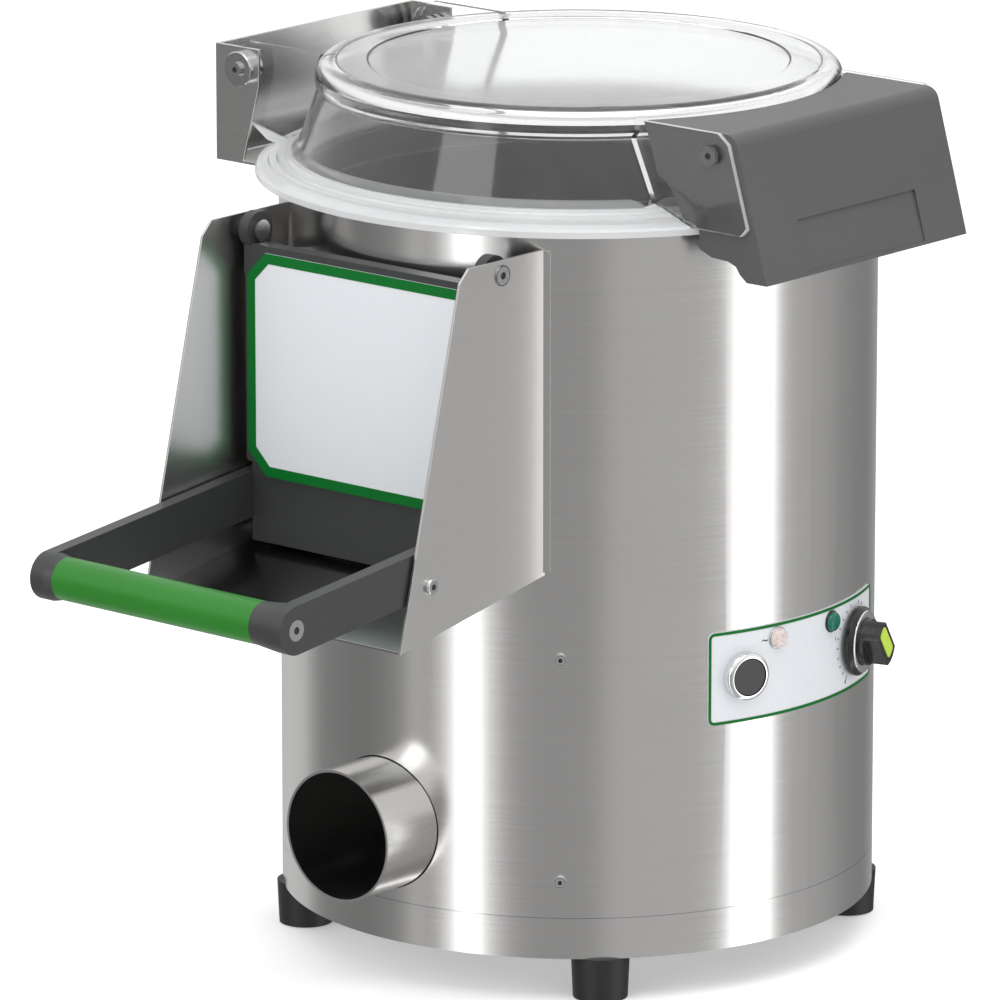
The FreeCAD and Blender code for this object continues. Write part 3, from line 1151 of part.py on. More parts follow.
def make_handle(envelope):
    """Hollow moulded handle that follows the lid, with a finger recess in its outer face."""
    half = number("handle_half")
    top, top_x, low_x, low, lean, _ = handle_outline(0)
    inner = number("handle_inner")
    side_points = [
        (inner, top), (top_x, top), (low_x, low), (low_x - 15, low), (low_x - 20, low + 4), (low_x - 23, low + 8.5),
        (low_x - 29, low + 10.8), (low_x - 41, low + 11.4), (low_x - 50, low + 15), (low_x - 56, low + 22),
        (low_x - 66, low + 40), (low_x - 70, low + 47), (low_x - 75, low + 52), (low_x - 81, low + 55),
        (low_x - 86, low + 72),
    ]
    solid = polygon_prism([Vector(x, -half, z) for x, z in side_points], Vector(0, 2 * half, 0))
    edge = [e for e in solid.Edges if e.BoundBox.YLength > half and abs(e.BoundBox.XMin - top_x) < 0.01
            and abs(e.BoundBox.ZMin - top) < 0.01]
    solid = solid.makeFillet(number("handle_round"), edge)
    wall = number("handle_wall")
    cav_top, _, _, _, _, shift = handle_outline(wall)
    cavity = polygon_prism([
        Vector(inner - 40, -half + wall, cav_top), Vector(top_x - shift + lean * wall - 4, -half + wall, cav_top),
        Vector(top_x - shift + lean * (wall + 4), -half + wall, cav_top - 4),
        Vector(low_x - shift + lean * 5, -half + wall, low - 5), Vector(inner - 40, -half + wall, low - 5),
    ], Vector(0, 2 * (half - wall), 0))
    handle = solid.cut(cavity)
    recess_half, recess_top, depth = number("recess_half"), number("recess_top"), number("recess_depth")
    face_x = low_x - lean * (recess_top - low)
    recess = polygon_prism([
        Vector(face_x - depth, -recess_half, recess_top), Vector(face_x + 10, -recess_half, recess_top),
        Vector(low_x + 12, -recess_half, low + 2.0), Vector(low_x - depth + 0.2, -recess_half, low + 2.0),
    ], Vector(0, 2 * recess_half, 0))
    handle = handle.cut(recess)
    grown = envelope.copy()
    clearance = number("lid_clearance")
    factor = (number("ring_radius") + clearance) / number("ring_radius")
    matrix = FreeCAD.Matrix()
    matrix.scale(factor, factor, 1.0)
    grown = grown.transformGeometry(matrix)
    handle = handle.cut([envelope, grown])
    upper = envelope.copy()
    upper.translate(Vector(0, 0, clearance))
    handle = handle.cut(upper)
    bosses, screws, holes = [], [], []
    shank = number("screw_shank")
    for side in (1, -1):
        place = Vector(number("handle_screw_x"), side * (half - wall), number("handle_screw_z"))
        inwards = Vector(0, -side, 0)
        bosses.append(Part.makeCylinder(6.0, 12.0, place, inwards))
        holes.append(Part.makeCylinder(shank + 0.1, 30.0, place - inwards * 8, inwards))
        wing_face = number("wing_inner") + number("wing_thick")
        start = Vector(place.x, side * wing_face, place.z)
        head = Part.makeCylinder(number("handle_screw_radius"), number("handle_screw_head"), start, -inwards)
        socket = Part.makeCylinder(2.0, 4.0, start - inwards * 1.0, -inwards)
        stem = Part.makeCylinder(shank, wing_face - half + wall + 8, start, inwards)
        screws.append(head.fuse(stem).cut(socket).removeSplitter())
    handle = handle.fuse(bosses).cut(holes)
    solids = sorted(handle.Solids, key=lambda s: s.Volume)
    keep("lid_handle", shaped("lid_handle", solids[-1].removeSplitter()))
    keep("handle_screws", shaped("handle_screws", Part.makeCompound(screws)))
    magnet_x = low_x - lean * 30 - shift
    magnet = polygon_prism([
        Vector(magnet_x - 8, -12, low + 22), Vector(magnet_x - 0.2 + lean * 8, -12, low + 22),
        Vector(magnet_x - 0.2 - lean * 8, -12, low + 38), Vector(magnet_x - 8, -12, low + 38),
    ], Vector(0, 24, 0))
    keep("lid_magnet", shaped("lid_magnet", magnet))


# Lid hinge

def make_bracket():
    """Folded hinge bracket, and the two pins with their discs."""
    half, sheet_wall = number("bracket_half"), number("bracket_sheet")
    back, top, low = -number("bracket_back"), number("bracket_top"), number("bracket_low")
    wall = Part.makeBox(sheet_wall, 2 * half, top - low, Vector(back, -half, low))
    shelf = Part.makeBox(-back - 100, 2 * half, sheet_wall, Vector(back, -half, low))
    shelf = shelf.cut(Part.makeCylinder(number("body_radius") + number("wall_gap"), FAR * 2))
    pieces = [shelf]
    holes = []
    pins = []
    axis = Vector(-number("hinge_x"), 0, number("hinge_z"))
    for side in (1, -1):
        y = half - sheet_wall if side > 0 else -half
        pieces.append(polygon_prism([
            Vector(back, y, low), Vector(-number("cheek_low_x"), y, low),
            Vector(-number("cheek_top_x"), y, number("cheek_break_z")), Vector(-number("cheek_top_x"), y, top),
            Vector(back, y, top),
        ], Vector(0, sheet_wall, 0)))
        outwards = Vector(0, side, 0)
        holes.append(Part.makeCylinder(number("hinge_pin_radius") + 0.02, 20, axis + outwards * (half - 10), outwards))
        inner = number("hinge_wing_inner") - number("hinge_nut_thick") - 0.3
        pin = Part.makeCylinder(number("hinge_pin_radius"), half - inner + 0.5, axis + outwards * inner, outwards)
        disc = Part.makeCylinder(number("hinge_disc_radius"), number("hinge_disc_thick"), axis + outwards * half, outwards)
        disc = disc.makeChamfer(0.6, [e for e in disc.Edges if e.BoundBox.YLength < 0.01
                                      and abs(abs(e.BoundBox.YMax) - half - number("hinge_disc_thick")) < 0.01])
        hub = Part.makeCylinder(4.6, 2.2, axis + outwards * (half + number("hinge_disc_thick")), outwards)
        socket = Part.makeCylinder(1.8, 5, axis + outwards * (half + number("hinge_disc_thick") + 0.7), outwards)
        nut = Part.makeCylinder(number("hinge_nut_radius"), number("hinge_nut_thick"), axis + outwards * inner, outwards)
        spacer_start = number("hinge_wing_inner") + number("wing_thick") + 1.3
        spacer = Part.makeCylinder(number("hinge_nut_radius"), half - sheet_wall - spacer_start,
                                   axis + outwards * spacer_start, outwards)
        pins.append(pin.fuse([disc, hub, nut, spacer]).cut(socket).removeSplitter())
    bracket = wall.fuse(pieces).cut(holes).removeSplitter()
    keep("hinge_bracket", shaped("hinge_bracket", bracket))
    keep("hinge_pins", shaped("hinge_pins", Part.makeCompound(pins)))


# Control panel

def make_panel():
    """Curved label, button, lamps, knob and what stands behind them."""
    face = number("body_radius")
    panel_face = face + number("panel_thick")
    label = ring_sector(face + 0.02, panel_face, number("panel_low"), number("panel_high"),
                        number("panel_from"), number("panel_to"))
    corners = [e for e in label.Edges if e.Length < 2 * number("panel_thick")]
    label = label.makeFillet(number("panel_corner"), corners)
    keep("panel_label", shaped("panel_label", label.cut(control_holes())))
    z, angle = number("control_z"), number("button_angle")
    bezel = radial_rod(number("bezel_radius"), face - 6, panel_face + number("bezel_rise"), angle, z)
    front = [e for e in bezel.Edges if e.Length > 80 and e.CenterOfMass.Length > bezel.CenterOfMass.Length]
    bezel = bezel.makeFillet(2.7, front)
    bezel = bezel.cut(radial_rod(number("button_radius") + number("button_gap"), face - 10, FAR, angle, z))
    outside = Part.makeCylinder(panel_face + 0.02, FAR * 2)
    stem = radial_rod(number("button_radius") + number("screw_clearance") + 0.35, face - 8, FAR, angle, z)
    bezel = bezel.cut(outside.cut(stem))
    keep("button_bezel", shaped("button_bezel", bezel))
    cap = radial_rod(number("button_radius"), face - 2.0, panel_face + number("button_rise"), angle, z)
    stalk = radial_rod(3.0, face - 8.0, face - 2.0, angle, z)
    keep("start_button", shaped("start_button", cap.fuse(stalk).removeSplitter()))
    block_start = face - 8.0 - number("button_travel") - 0.4
    switch = Part.makeBox(26, 24, 24, Vector(block_start - 26, -12, z - 12))
    switch.rotate(Vector(), Vector(0, 0, 1), angle)
    ring = radial_rod(number("button_radius") + 0.3, block_start, face - 6.3, angle, z)
    ring = ring.cut(radial_rod(number("button_radius") - 2, block_start - 1, FAR, angle, z))
    keep("button_switch", shaped("button_switch", switch.fuse(ring).removeSplitter()))
    make_lamps(face, panel_face)
    make_knob(face, panel_face, z)


def make_lamps(face, panel_face):
    for label_name, alias in (("clear_lamp", "clear_lamp_angle"), ("green_lamp", "green_lamp_angle")):
        angle, z, radius = number(alias), number("lamp_z"), number("lamp_radius")
        lens = radial_rod(radius, panel_face + 0.05, panel_face + number("lamp_rise"), angle, z)
        rim = [e for e in lens.Edges if e.Length > 30 and e.CenterOfMass.Length > lens.CenterOfMass.Length]
        lens = lens.makeFillet(2.8, rim)
        holder = radial_rod(radius - 1.3, face - 22, panel_face + 1, angle, z)
        nut = radial_rod(radius + 1.5, face - 7, face - 3, angle, z)
        keep(label_name, shaped(label_name, lens.fuse([holder, nut]).removeSplitter()))


def make_knob(face, panel_face, z):
    angle = number("knob_angle")
    gap = number("skirt_gap")
    skirt = radial_rod(number("skirt_radius"), panel_face + gap, panel_face + number("skirt_rise"), angle, z)
    rim = [e for e in skirt.Edges if e.Length > 100 and e.CenterOfMass.Length > skirt.CenterOfMass.Length]
    skirt = skirt.makeChamfer(2.5, rim)
    grip = radial_rod(number("knob_radius"), panel_face + number("skirt_rise") - 1,
                      panel_face + number("skirt_rise") + 4, angle, z)
    bar_half, reach = number("knob_bar"), number("knob_radius")
    bar = Part.makeBox(number("knob_rise") - number("skirt_rise") + 1, 2 * bar_half, 2 * reach,
                       Vector(panel_face + number("skirt_rise") - 1, -bar_half, -reach))
    bar = bar.common(Part.makeCylinder(reach, 60, Vector(panel_face - 10, 0, 0), Vector(1, 0, 0)))
    bar.rotate(Vector(), Vector(1, 0, 0), 40)
    bar.translate(Vector(0, 0, z))
    bar.rotate(Vector(), Vector(0, 0, 1), angle)
    shaft = radial_rod(number("timer_shaft_radius"), face - 12, panel_face + gap + 1, angle, z)
    knob = skirt.fuse([grip, bar, shaft])
    pointer = Part.makeBox(number("pointer_thick"), 2 * number("pointer_half"), reach * 1.55,
                           Vector(panel_face + number("knob_rise") - number("pointer_thick") + 0.4,
                                  -number("pointer_half"), -reach * 0.65))
    pointer = pointer.makeFillet(2.5, [e for e in pointer.Edges if e.BoundBox.XLength > 1])
    pointer.rotate(Vector(), Vector(1, 0, 0), 40)
    pointer.translate(Vector(0, 0, z))
    pointer.rotate(Vector(), Vector(0, 0, 1), angle)
    keep("timer_knob", shaped("timer_knob", knob.cut(pointer).removeSplitter()))
    keep("knob_pointer", shaped("knob_pointer", pointer))
    half, depth = number("timer_half"), number("timer_depth")
    start = face - 12.4 - depth + 9
    timer = Part.makeBox(depth - 9, 2 * half, 2 * half, Vector(start, -half, z - half))
    timer.rotate(Vector(), Vector(0, 0, 1), angle)
    bush = radial_rod(number("timer_shaft_radius") + 4, face - 12.5, face - 2.6, angle, z)
    bush = bush.fuse(timer)
    bore = radial_rod(number("timer_shaft_radius") + number("running_gap"), face - 12.3, FAR, angle, z)
    keep("timer_body", shaped("timer_body", bush.cut(bore).removeSplitter()))


# Services

def make_services():
    """Water inlet, cable gland and the lid switch."""
    face = number("body_radius")
    inner = float(drum_inner) - number("lining_thick") - 6
    tail = radial_rod(number("inlet_radius"), inner, number("inlet_end"), 90, number("inlet_z"))
    nut = radial_rod(number("inlet_nut_radius"), face + 0.1, face + number("inlet_nut_thick"), 90, number("inlet_z"))
    barbs = []
    for index in range(3):
        start = number("inlet_end") - 4 - 8 * index
        cone = Part.makeCone(number("inlet_radius"), number("inlet_radius") + 1.2, 4.0,
                             Vector(start - 4, 0, number("inlet_z")), Vector(1, 0, 0))
        cone.rotate(Vector(), Vector(0, 0, 1), 90)
        barbs.append(cone)
    bore = radial_rod(number("inlet_bore"), inner - 1, FAR, 90, number("inlet_z"))
    keep("water_inlet", shaped("water_inlet", tail.fuse([nut] + barbs).cut(bore).removeSplitter()))
    angle, z = number("gland_angle"), number("gland_z")
    body = radial_rod(number("gland_radius"), face - 10, number("gland_end"), angle, z)
    collar = radial_rod(number("gland_radius") + 3, face + 0.3, face + 7, angle, z)
    hole = radial_rod(number("gland_bore"), face - 12, FAR, angle, z)
    keep("cable_gland", shaped("cable_gland", body.fuse(collar).cut(hole).removeSplitter()))
    room = float(shell_inner) - number("drum_radius")
    sensor = Part.makeBox(room - 2.0, 30, 16, Vector(number("drum_radius") + 0.6, -15, number("body_top") - 34))
    outside = Part.makeCylinder(float(shell_inner) - 0.1, FAR * 2)
    keep("lid_switch", shaped("lid_switch", sensor.common(outside)))


make_base()
make_shell()
make_body_screws()
make_drum()
make_disc()
make_bearings()
make_belt_drive()
make_motor()
make_drain()
make_chute()
make_throat()
make_door()
make_lid()
make_bracket()
make_panel()
make_services()
doc.recompute()

for obj in doc.Objects:
    if "Invalid" in obj.State or "Error" in obj.State:
        raise RuntimeError(f"{obj.Name} did not build: {obj.State}")
os.makedirs("parts", exist_ok=True)
for label, obj in NODES.items():
    shape = obj.Shape
    if shape.isNull() or not shape.isValid():
        raise RuntimeError(f"{label} has no valid shape")
    shape.exportStep(f"parts/{label}.step")
    print(label, "solids", len(shape.Solids), "volume", round(shape.Volume))
print(len(NODES), "nodes")
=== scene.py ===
# %% [markdown]
# # Electric potato peeler
# A stainless drum machine as a catering kitchen uses it: a clear hinged lid, a discharge door with a tray
# handle, a drain spout and a small curved control panel. The hard parts come from the CAD frame in their
# real sizes. This lesson gives them their edges and finishes, adds printed trim, and lights the scene.

# %% Load the frame
import json
import math
import bmesh
import bpy
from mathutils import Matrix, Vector


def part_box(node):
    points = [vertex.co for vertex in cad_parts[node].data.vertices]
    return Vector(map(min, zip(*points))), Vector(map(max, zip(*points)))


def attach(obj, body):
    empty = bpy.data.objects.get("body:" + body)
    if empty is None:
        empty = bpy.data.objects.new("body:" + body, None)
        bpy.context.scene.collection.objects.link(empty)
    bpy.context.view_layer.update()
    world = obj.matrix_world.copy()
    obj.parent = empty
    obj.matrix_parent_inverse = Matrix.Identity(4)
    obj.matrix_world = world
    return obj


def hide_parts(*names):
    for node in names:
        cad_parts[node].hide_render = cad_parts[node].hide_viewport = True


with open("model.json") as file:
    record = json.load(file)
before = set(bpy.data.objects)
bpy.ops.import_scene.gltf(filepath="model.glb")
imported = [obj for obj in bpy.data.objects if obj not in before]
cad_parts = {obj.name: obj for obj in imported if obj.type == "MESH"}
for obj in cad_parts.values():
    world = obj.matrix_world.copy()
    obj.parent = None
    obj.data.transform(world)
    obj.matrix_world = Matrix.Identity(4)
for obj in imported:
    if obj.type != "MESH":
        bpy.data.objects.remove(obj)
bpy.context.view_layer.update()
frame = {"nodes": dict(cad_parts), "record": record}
bpy.ops.object.select_all(action="DESELECT")
print("nodes loaded:", len(frame["nodes"]))

# %% [markdown]
# ## Helpers for materials
# Every finish starts from the Principled shader. What makes it read as metal, rubber or moulded plastic is
# variation at the right scale: a noise texture in Object coordinates changes the colour a little, breaks up
# the roughness, and gives the surface a fine bump.

# %% Material helpers
FINE_SHARE, SLOW_SHARE = 0.6, 0.4
FINE_DETAIL, SLOW_DETAIL = 3.0, 2.0
USUAL_CLOUD = 14.0
RAMP_FROM, RAMP_TO = 0.3, 0.7
GRAIN_DEPTH = 0.0002


def math_node(nodes, links, operation, *inputs):
    """The output of a Math node, whose inputs are sockets to link or plain numbers."""
    node = nodes.new("ShaderNodeMath")
    node.operation = operation
    for place, value in enumerate(inputs):
        if isinstance(value, bpy.types.NodeSocket):
            links.new(value, node.inputs[place])
        else:
            node.inputs[place].default_value = value
    return node.outputs[0]


def noise_node(nodes, links, vector, scale, detail):
    """The grey output of a noise texture."""
    node = nodes.new("ShaderNodeTexNoise")
    node.inputs["Scale"].default_value = scale
    node.inputs["Detail"].default_value = detail
    links.new(vector, node.inputs["Vector"])
    return node.outputs["Fac"]


def make_finish(name, colour, roughness, metallic, grain, spread, bump, rough_spread,
                cloud=USUAL_CLOUD):
    """A procedural finish: fine grain for bump and gloss, and a slow cloud for the colour."""
    material = bpy.data.materials.new(name)
    material.use_nodes = True
    nodes, links = material.node_tree.nodes, material.node_tree.links
    shader = nodes["Principled BSDF"]
    shader.inputs["Metallic"].default_value = metallic
    coords = nodes.new("ShaderNodeTexCoord")
    stretch = nodes.new("ShaderNodeMapping")
    stretch.inputs["Scale"].default_value = grain
    links.new(coords.outputs["Object"], stretch.inputs["Vector"])
    fine = noise_node(nodes, links, stretch.outputs["Vector"], 1.0, FINE_DETAIL)
    slow = noise_node(nodes, links, coords.outputs["Object"], cloud, SLOW_DETAIL)
    share = math_node(nodes, links, "MULTIPLY", slow, SLOW_SHARE)
    blend = math_node(nodes, links, "MULTIPLY_ADD", fine, FINE_SHARE, share)
    ramp = nodes.new("ShaderNodeValToRGB")
    dark = [channel * (1 - spread) for channel in colour]
    light = [min(1.0, channel * (1 + spread)) for channel in colour]
    for stop, place, shade in zip(ramp.color_ramp.elements, (RAMP_FROM, RAMP_TO), (dark, light)):
        stop.position = place
        stop.color = (*shade, 1)
    links.new(blend, ramp.inputs["Fac"])
    links.new(ramp.outputs["Color"], shader.inputs["Base Color"])
    gloss = nodes.new("ShaderNodeMapRange")
    gloss.inputs["To Min"].default_value = max(0.0, roughness - rough_spread)
    gloss.inputs["To Max"].default_value = min(1.0, roughness + rough_spread)
    links.new(fine, gloss.inputs["Value"])
    links.new(gloss.outputs["Result"], shader.inputs["Roughness"])
    if bump:
        relief = nodes.new("ShaderNodeBump")
        relief.inputs["Strength"].default_value = bump
        relief.inputs["Distance"].default_value = GRAIN_DEPTH
        links.new(fine, relief.inputs["Height"])
        links.new(relief.outputs["Normal"], shader.inputs["Normal"])
    return material


# %% [markdown]
# ## Finishes of the machine
# Brushed stainless has its grain round the shell, so the noise is stretched that way; the flat sheets are
# satin and have no bump. Mouldings are dark grey with a fine leather-like grain, and the grip is a smooth
# green sleeve. Each row holds the name, the colour, the roughness, the metallic share, the grain, the
# spread of the colour, the bump and the spread of the roughness, and some end with the scale of the cloud.

# %% Finishes
ROUND_GRAIN = (6, 6, 1500)
TURNED_GRAIN = (20, 20, 1500)
SHEET_GRAIN = (60, 60, 300)
SLEEVE_GRAIN = (300, 1500, 1500)
SMOOTH, SOFT, COARSE = (60,) * 3, (300,) * 3, (500,) * 3
PRINT, FINE, GRIT = (800,) * 3, (900,) * 3, (1100,) * 3
KNOB, LEATHER = (1300,) * 3, (1600,) * 3
FINISHES = {
    "stainless": ("shell steel, brushed round", (0.72, 0.71, 0.70), 0.20, 1.0, ROUND_GRAIN, 0.03, 0.05, 0.05),
    "sheet": ("chute steel, satin", (0.66, 0.65, 0.64), 0.29, 1.0, SHEET_GRAIN, 0.02, 0.0, 0.02),
    # Darker steel for the chute floor than for the sheets.
    "tray": ("tray steel, worn dull", (0.42, 0.42, 0.42), 0.20, 1.0, SHEET_GRAIN, 0.02, 0.0, 0.02),
    "drum": ("drum steel, dull", (0.60, 0.60, 0.60), 0.32, 1.0, ROUND_GRAIN, 0.08, 0.10, 0.08),
    "screw": ("screw steel, bright", (0.58, 0.58, 0.58), 0.20, 1.0, FINE, 0.06, 0.03, 0.05),
    "turned": ("turned steel", (0.55, 0.55, 0.56), 0.25, 1.0, TURNED_GRAIN, 0.08, 0.10, 0.06),
    "cast": ("cast metal, matt", (0.42, 0.42, 0.43), 0.5, 0.9, COARSE, 0.12, 0.25, 0.08),
    "iron": ("pulley casting", (0.22, 0.22, 0.23), 0.5, 0.8, COARSE, 0.15, 0.25, 0.08),
    "paint": ("motor paint", (0.03, 0.035, 0.04), 0.45, 0.0, COARSE, 0.15, 0.12, 0.08),
    "grit": ("abrasive grit", (0.10, 0.095, 0.09), 0.75, 0.0, GRIT, 0.45, 0.9, 0.1, 40.0),
    "black_rubber": ("foot rubber, black", (0.012, 0.012, 0.012), 0.55, 0.0, FINE, 0.2, 0.15, 0.1),
    "gasket": ("gasket rubber", (0.03, 0.03, 0.032), 0.5, 0.0, FINE, 0.15, 0.1, 0.1),
    "moulded_grey": ("moulded plastic, dark grey", (0.080, 0.080, 0.081), 0.42, 0.0, LEATHER, 0.10,
                     0.12, 0.07, 9.0),
    "door_grey": ("door moulding, charcoal", (0.036, 0.037, 0.038), 0.42, 0.0, LEATHER, 0.12,
                  0.12, 0.07, 9.0),
    "green_grip": ("grip sleeve, green", (0.012, 0.175, 0.009), 0.36, 0.0, SLEEVE_GRAIN, 0.10, 0.05, 0.06),
    "label_green": ("printed green", (0.0, 0.135, 0.018), 0.42, 0.0, PRINT, 0.04, 0.01, 0.04),
    "label_white": ("printed label, pale grey", (0.69, 0.71, 0.74), 0.34, 0.0, COARSE, 0.02,
                    0.01, 0.04, 3.0),
    "black_gloss": ("knob plastic, black", (0.010, 0.010, 0.011), 0.28, 0.0, KNOB, 0.15, 0.04, 0.06),
    "chrome": ("polished ring", (0.80, 0.80, 0.81), 0.12, 1.0, FINE, 0.04, 0.02, 0.04),
    "clear_lens": ("lamp lens, clear", (0.66, 0.56, 0.54), 0.12, 0.0, COARSE, 0.25, 0.1, 0.05, 260.0),
    "green_lens": ("lamp lens, green", (0.004, 0.13, 0.085), 0.12, 0.0, COARSE, 0.35, 0.1, 0.05, 260.0),
    "pointer": ("pointer, yellow green", (0.52, 0.72, 0.06), 0.35, 0.0, PRINT, 0.06, 0.02, 0.05),
    "button_head": ("screw head, bright", (0.85, 0.85, 0.85), 0.10, 1.0, FINE, 0.03, 0.02, 0.03),
    # Near-black for painted shade: the plugs in screw sockets and the thin rings round sunk heads.
    "socket": ("shaded socket", (0.03, 0.03, 0.03), 0.6, 0.4, FINE, 0.1, 0.02, 0.04),
    "ivory": ("switch plastic, ivory", (0.62, 0.60, 0.54), 0.45, 0.0, FINE, 0.05, 0.05, 0.06),
    "ink": ("printing ink, black", (0.02, 0.02, 0.02), 0.4, 0.0, FINE, 0.1, 0.01, 0.04),
    "clear": ("clear polycarbonate", (0.97, 0.975, 0.98), 0.05, 0.0, SMOOTH, 0.01, 0.02, 0.03, 8.0),
    # Pale, less clear plastic: a painted sheen on the lid's thick rim and the cut edges of its wings.
    "painted_rim_sheen": ("polycarbonate rim", (0.84, 0.85, 0.86), 0.12, 0.0, SMOOTH, 0.02, 0.02, 0.04, 8.0),
    "silicone": ("seal silicone, pale", (0.86, 0.87, 0.88), 0.4, 0.0, SOFT, 0.03, 0.02, 0.05, 20.0),
}
PRINT_SPECULAR = 0.2
# Clear lid, its thick rim, whose sheen is painted as a pale, less clear body, and the half clear seal: the
# share of light let through, and the refractive index.
SEE_THROUGH = {"clear": (1.0, 1.45), "painted_rim_sheen": (0.45, 1.45), "silicone": (0.6, 1.41)}

finishes = {key: make_finish(*row) for key, row in FINISHES.items()}
for key, (share, refraction) in SEE_THROUGH.items():
    shader = finishes[key].node_tree.nodes["Principled BSDF"]
    shader.inputs["Transmission Weight"].default_value = share
    shader.inputs["IOR"].default_value = refraction
print_shader = finishes["label_green"].node_tree.nodes["Principled BSDF"]
print_shader.inputs["Specular IOR Level"].default_value = PRINT_SPECULAR
print("finishes:", len(finishes))

# %% Which node has which finish
WEAR = {
    "stainless": ["body_shell", "service_plate", "base_pan", "hinge_bracket", "drain_pipe"],
    "sheet": ["chute_side_left", "chute_side_right", "motor_plate"],
    "tray": ["chute_floor"],
    "drum": ["peeling_drum", "drum_base", "discharge_frame"],
    "button_head": ["body_screws"],
    "screw": ["foot_screws", "disc_nut", "chute_screws", "grip_screws", "pivot_bolts",
              "handle_screws", "hinge_pins", "lid_magnet", "run_capacitor"],
    "turned": ["drive_shaft", "upper_bearing", "lower_bearing", "bearing_spacer", "motor_rotor",
               "motor_posts"],
    "cast": ["bearing_housing"],
    "iron": ["driven_pulley", "motor_pulley"],
    "paint": ["motor_body"],
    "grit": ["drum_lining", "abrasive_disc"],
    "black_rubber": ["rubber_feet", "disc_wipers", "drive_belt"],
    "gasket": ["shaft_seal", "door_gasket"],
    "silicone": ["lid_gasket"],
    "moulded_grey": ["lid_handle"],
    "door_grey": ["door_casting", "door_plug", "pivot_bushes", "water_inlet", "cable_gland", "lid_switch"],
    "green_grip": ["grip_tube"],
    "label_white": ["door_label", "panel_label"],
    "black_gloss": ["start_button", "timer_knob"],
    "chrome": ["button_bezel"],
    "clear_lens": ["clear_lamp"],
    "green_lens": ["green_lamp"],
    "pointer": ["knob_pointer"],
    "ivory": ["button_switch", "timer_body"],
    "clear": ["clear_lid"],
}


def dress(piece, finish):
    """Give a piece its finish in its only slot."""
    piece.data.materials.clear()
    piece.data.materials.append(finishes[finish])


dressed = 0
for finish, names in WEAR.items():
    for node_name in names:
        node = frame["nodes"][node_name]
        if not node.material_slots:
            node.data.materials.append(finishes[finish])
        for place in node.material_slots:
            place.material = finishes[finish]
        dressed += 1
print("nodes dressed:", dressed, "of", len(frame["nodes"]))

# %% [markdown]
# ## Softened edges
# A CAD solid has knife edges, and real sheet and mouldings don't: the thin light along an edge is what the
# eye reads as thickness. A copy of the node is merged, its flat faces are joined again, and a small bevel
# rounds every sharp edge. The copy then stands for the node.

# %% Bevelled copies of the main pieces
MERGE = 0.00002
FLAT_WITHIN = math.radians(0.6)
BEVEL_OVER = math.radians(28)
BEVEL_SEGMENTS = 2
SMOOTH_UNDER = math.radians(50)
# Node, width of its bevel, finish.
EDGES = (
    ("lid_handle", 0.0008, "moulded_grey"),
    ("door_casting", 0.0006, "door_grey"),
    ("chute_side_left", 0.0003, "sheet"),
    ("chute_side_right", 0.0003, "sheet"),
    ("chute_floor", 0.0003, "tray"),
    ("hinge_bracket", 0.0004, "stainless"),
    ("timer_knob", 0.0004, "black_gloss"),
    ("start_button", 0.0005, "black_gloss"),
)
BODY_OF = {}
for body_name, members in frame["record"]["behaviour"]["bodies"].items():
    for member in members:
        BODY_OF[member] = body_name


def pick(piece):
    """Select one piece alone and make it the active one."""
    bpy.ops.object.select_all(action="DESELECT")
    piece.select_set(True)
    bpy.context.view_layer.objects.active = piece


def settle(piece, body):
    """Put a finished piece's place in its mesh, then let it ride on its body."""
    pick(piece)
    bpy.ops.object.transform_apply(location=True, rotation=True, scale=True)
    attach(piece, body)


def soften(node_name, width, finish):
    """A merged, bevelled copy of a CAD node that stands for it."""
    piece = bpy.data.objects.new("soft_" + node_name, frame["nodes"][node_name].data.copy())
    bpy.context.scene.collection.objects.link(piece)
    pick(piece)
    bpy.ops.object.mode_set(mode="EDIT")
    bpy.ops.mesh.select_all(action="SELECT")
    bpy.ops.mesh.remove_doubles(threshold=MERGE)
    bpy.ops.mesh.dissolve_limited(angle_limit=FLAT_WITHIN)
    bpy.ops.object.mode_set(mode="OBJECT")
    bevel = piece.modifiers.new("edge", "BEVEL")
    bevel.width = width
    bevel.segments = BEVEL_SEGMENTS
    bevel.limit_method = "ANGLE"
    bevel.angle_limit = BEVEL_OVER
    bevel.use_clamp_overlap = True
    bpy.ops.object.modifier_apply(modifier="edge")
    bpy.ops.object.shade_smooth_by_angle(angle=SMOOTH_UNDER)
    weights = piece.modifiers.new("weights", "WEIGHTED_NORMAL")
    weights.keep_sharp = True
    bpy.ops.object.modifier_apply(modifier="weights")
    dress(piece, finish)
    settle(piece, BODY_OF[node_name])
    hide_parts(node_name)
    print("softened", node_name, "faces", len(piece.data.polygons))


for node_name, width, finish in EDGES:
    soften(node_name, width, finish)

# %% [markdown]
# ## Painted sheen on the rim of the clear lid
# Thick clear plastic catches the light and looks paler where it is thick and where its cut edge shows;
# here that sheen is painted. A copy of the lid is split into two slots: the clear wall, and a pale, less
# clear one, a painted sheen, for the seat ring and for the cut edges of the wings.

# %% Lid with a painted sheen on its rim
RING_TOP = 0.4800
RING_INNER = 0.164
WING_HALF = 0.0944
WING_WIDTH = 0.0034
WING_SLACK = 0.0002
WING_FROM_X = 0.10
WING_INNER = 0.160
EDGE_ON = 0.4


def painted_rim_sheen(face):
    """True where a face of the lid belongs to the ring or to the cut edge of a wing, which get the painted
    sheen.
    """
    middle = face.center
    from_axis = math.hypot(middle.x, middle.y)
    if middle.z < RING_TOP and from_axis > RING_INNER:
        return True
    clear_of_lid = middle.x > WING_FROM_X and from_axis > WING_INNER
    outer = clear_of_lid and WING_HALF - WING_SLACK < abs(middle.y) < WING_HALF + WING_WIDTH
    return outer and abs(face.normal.y) < EDGE_ON


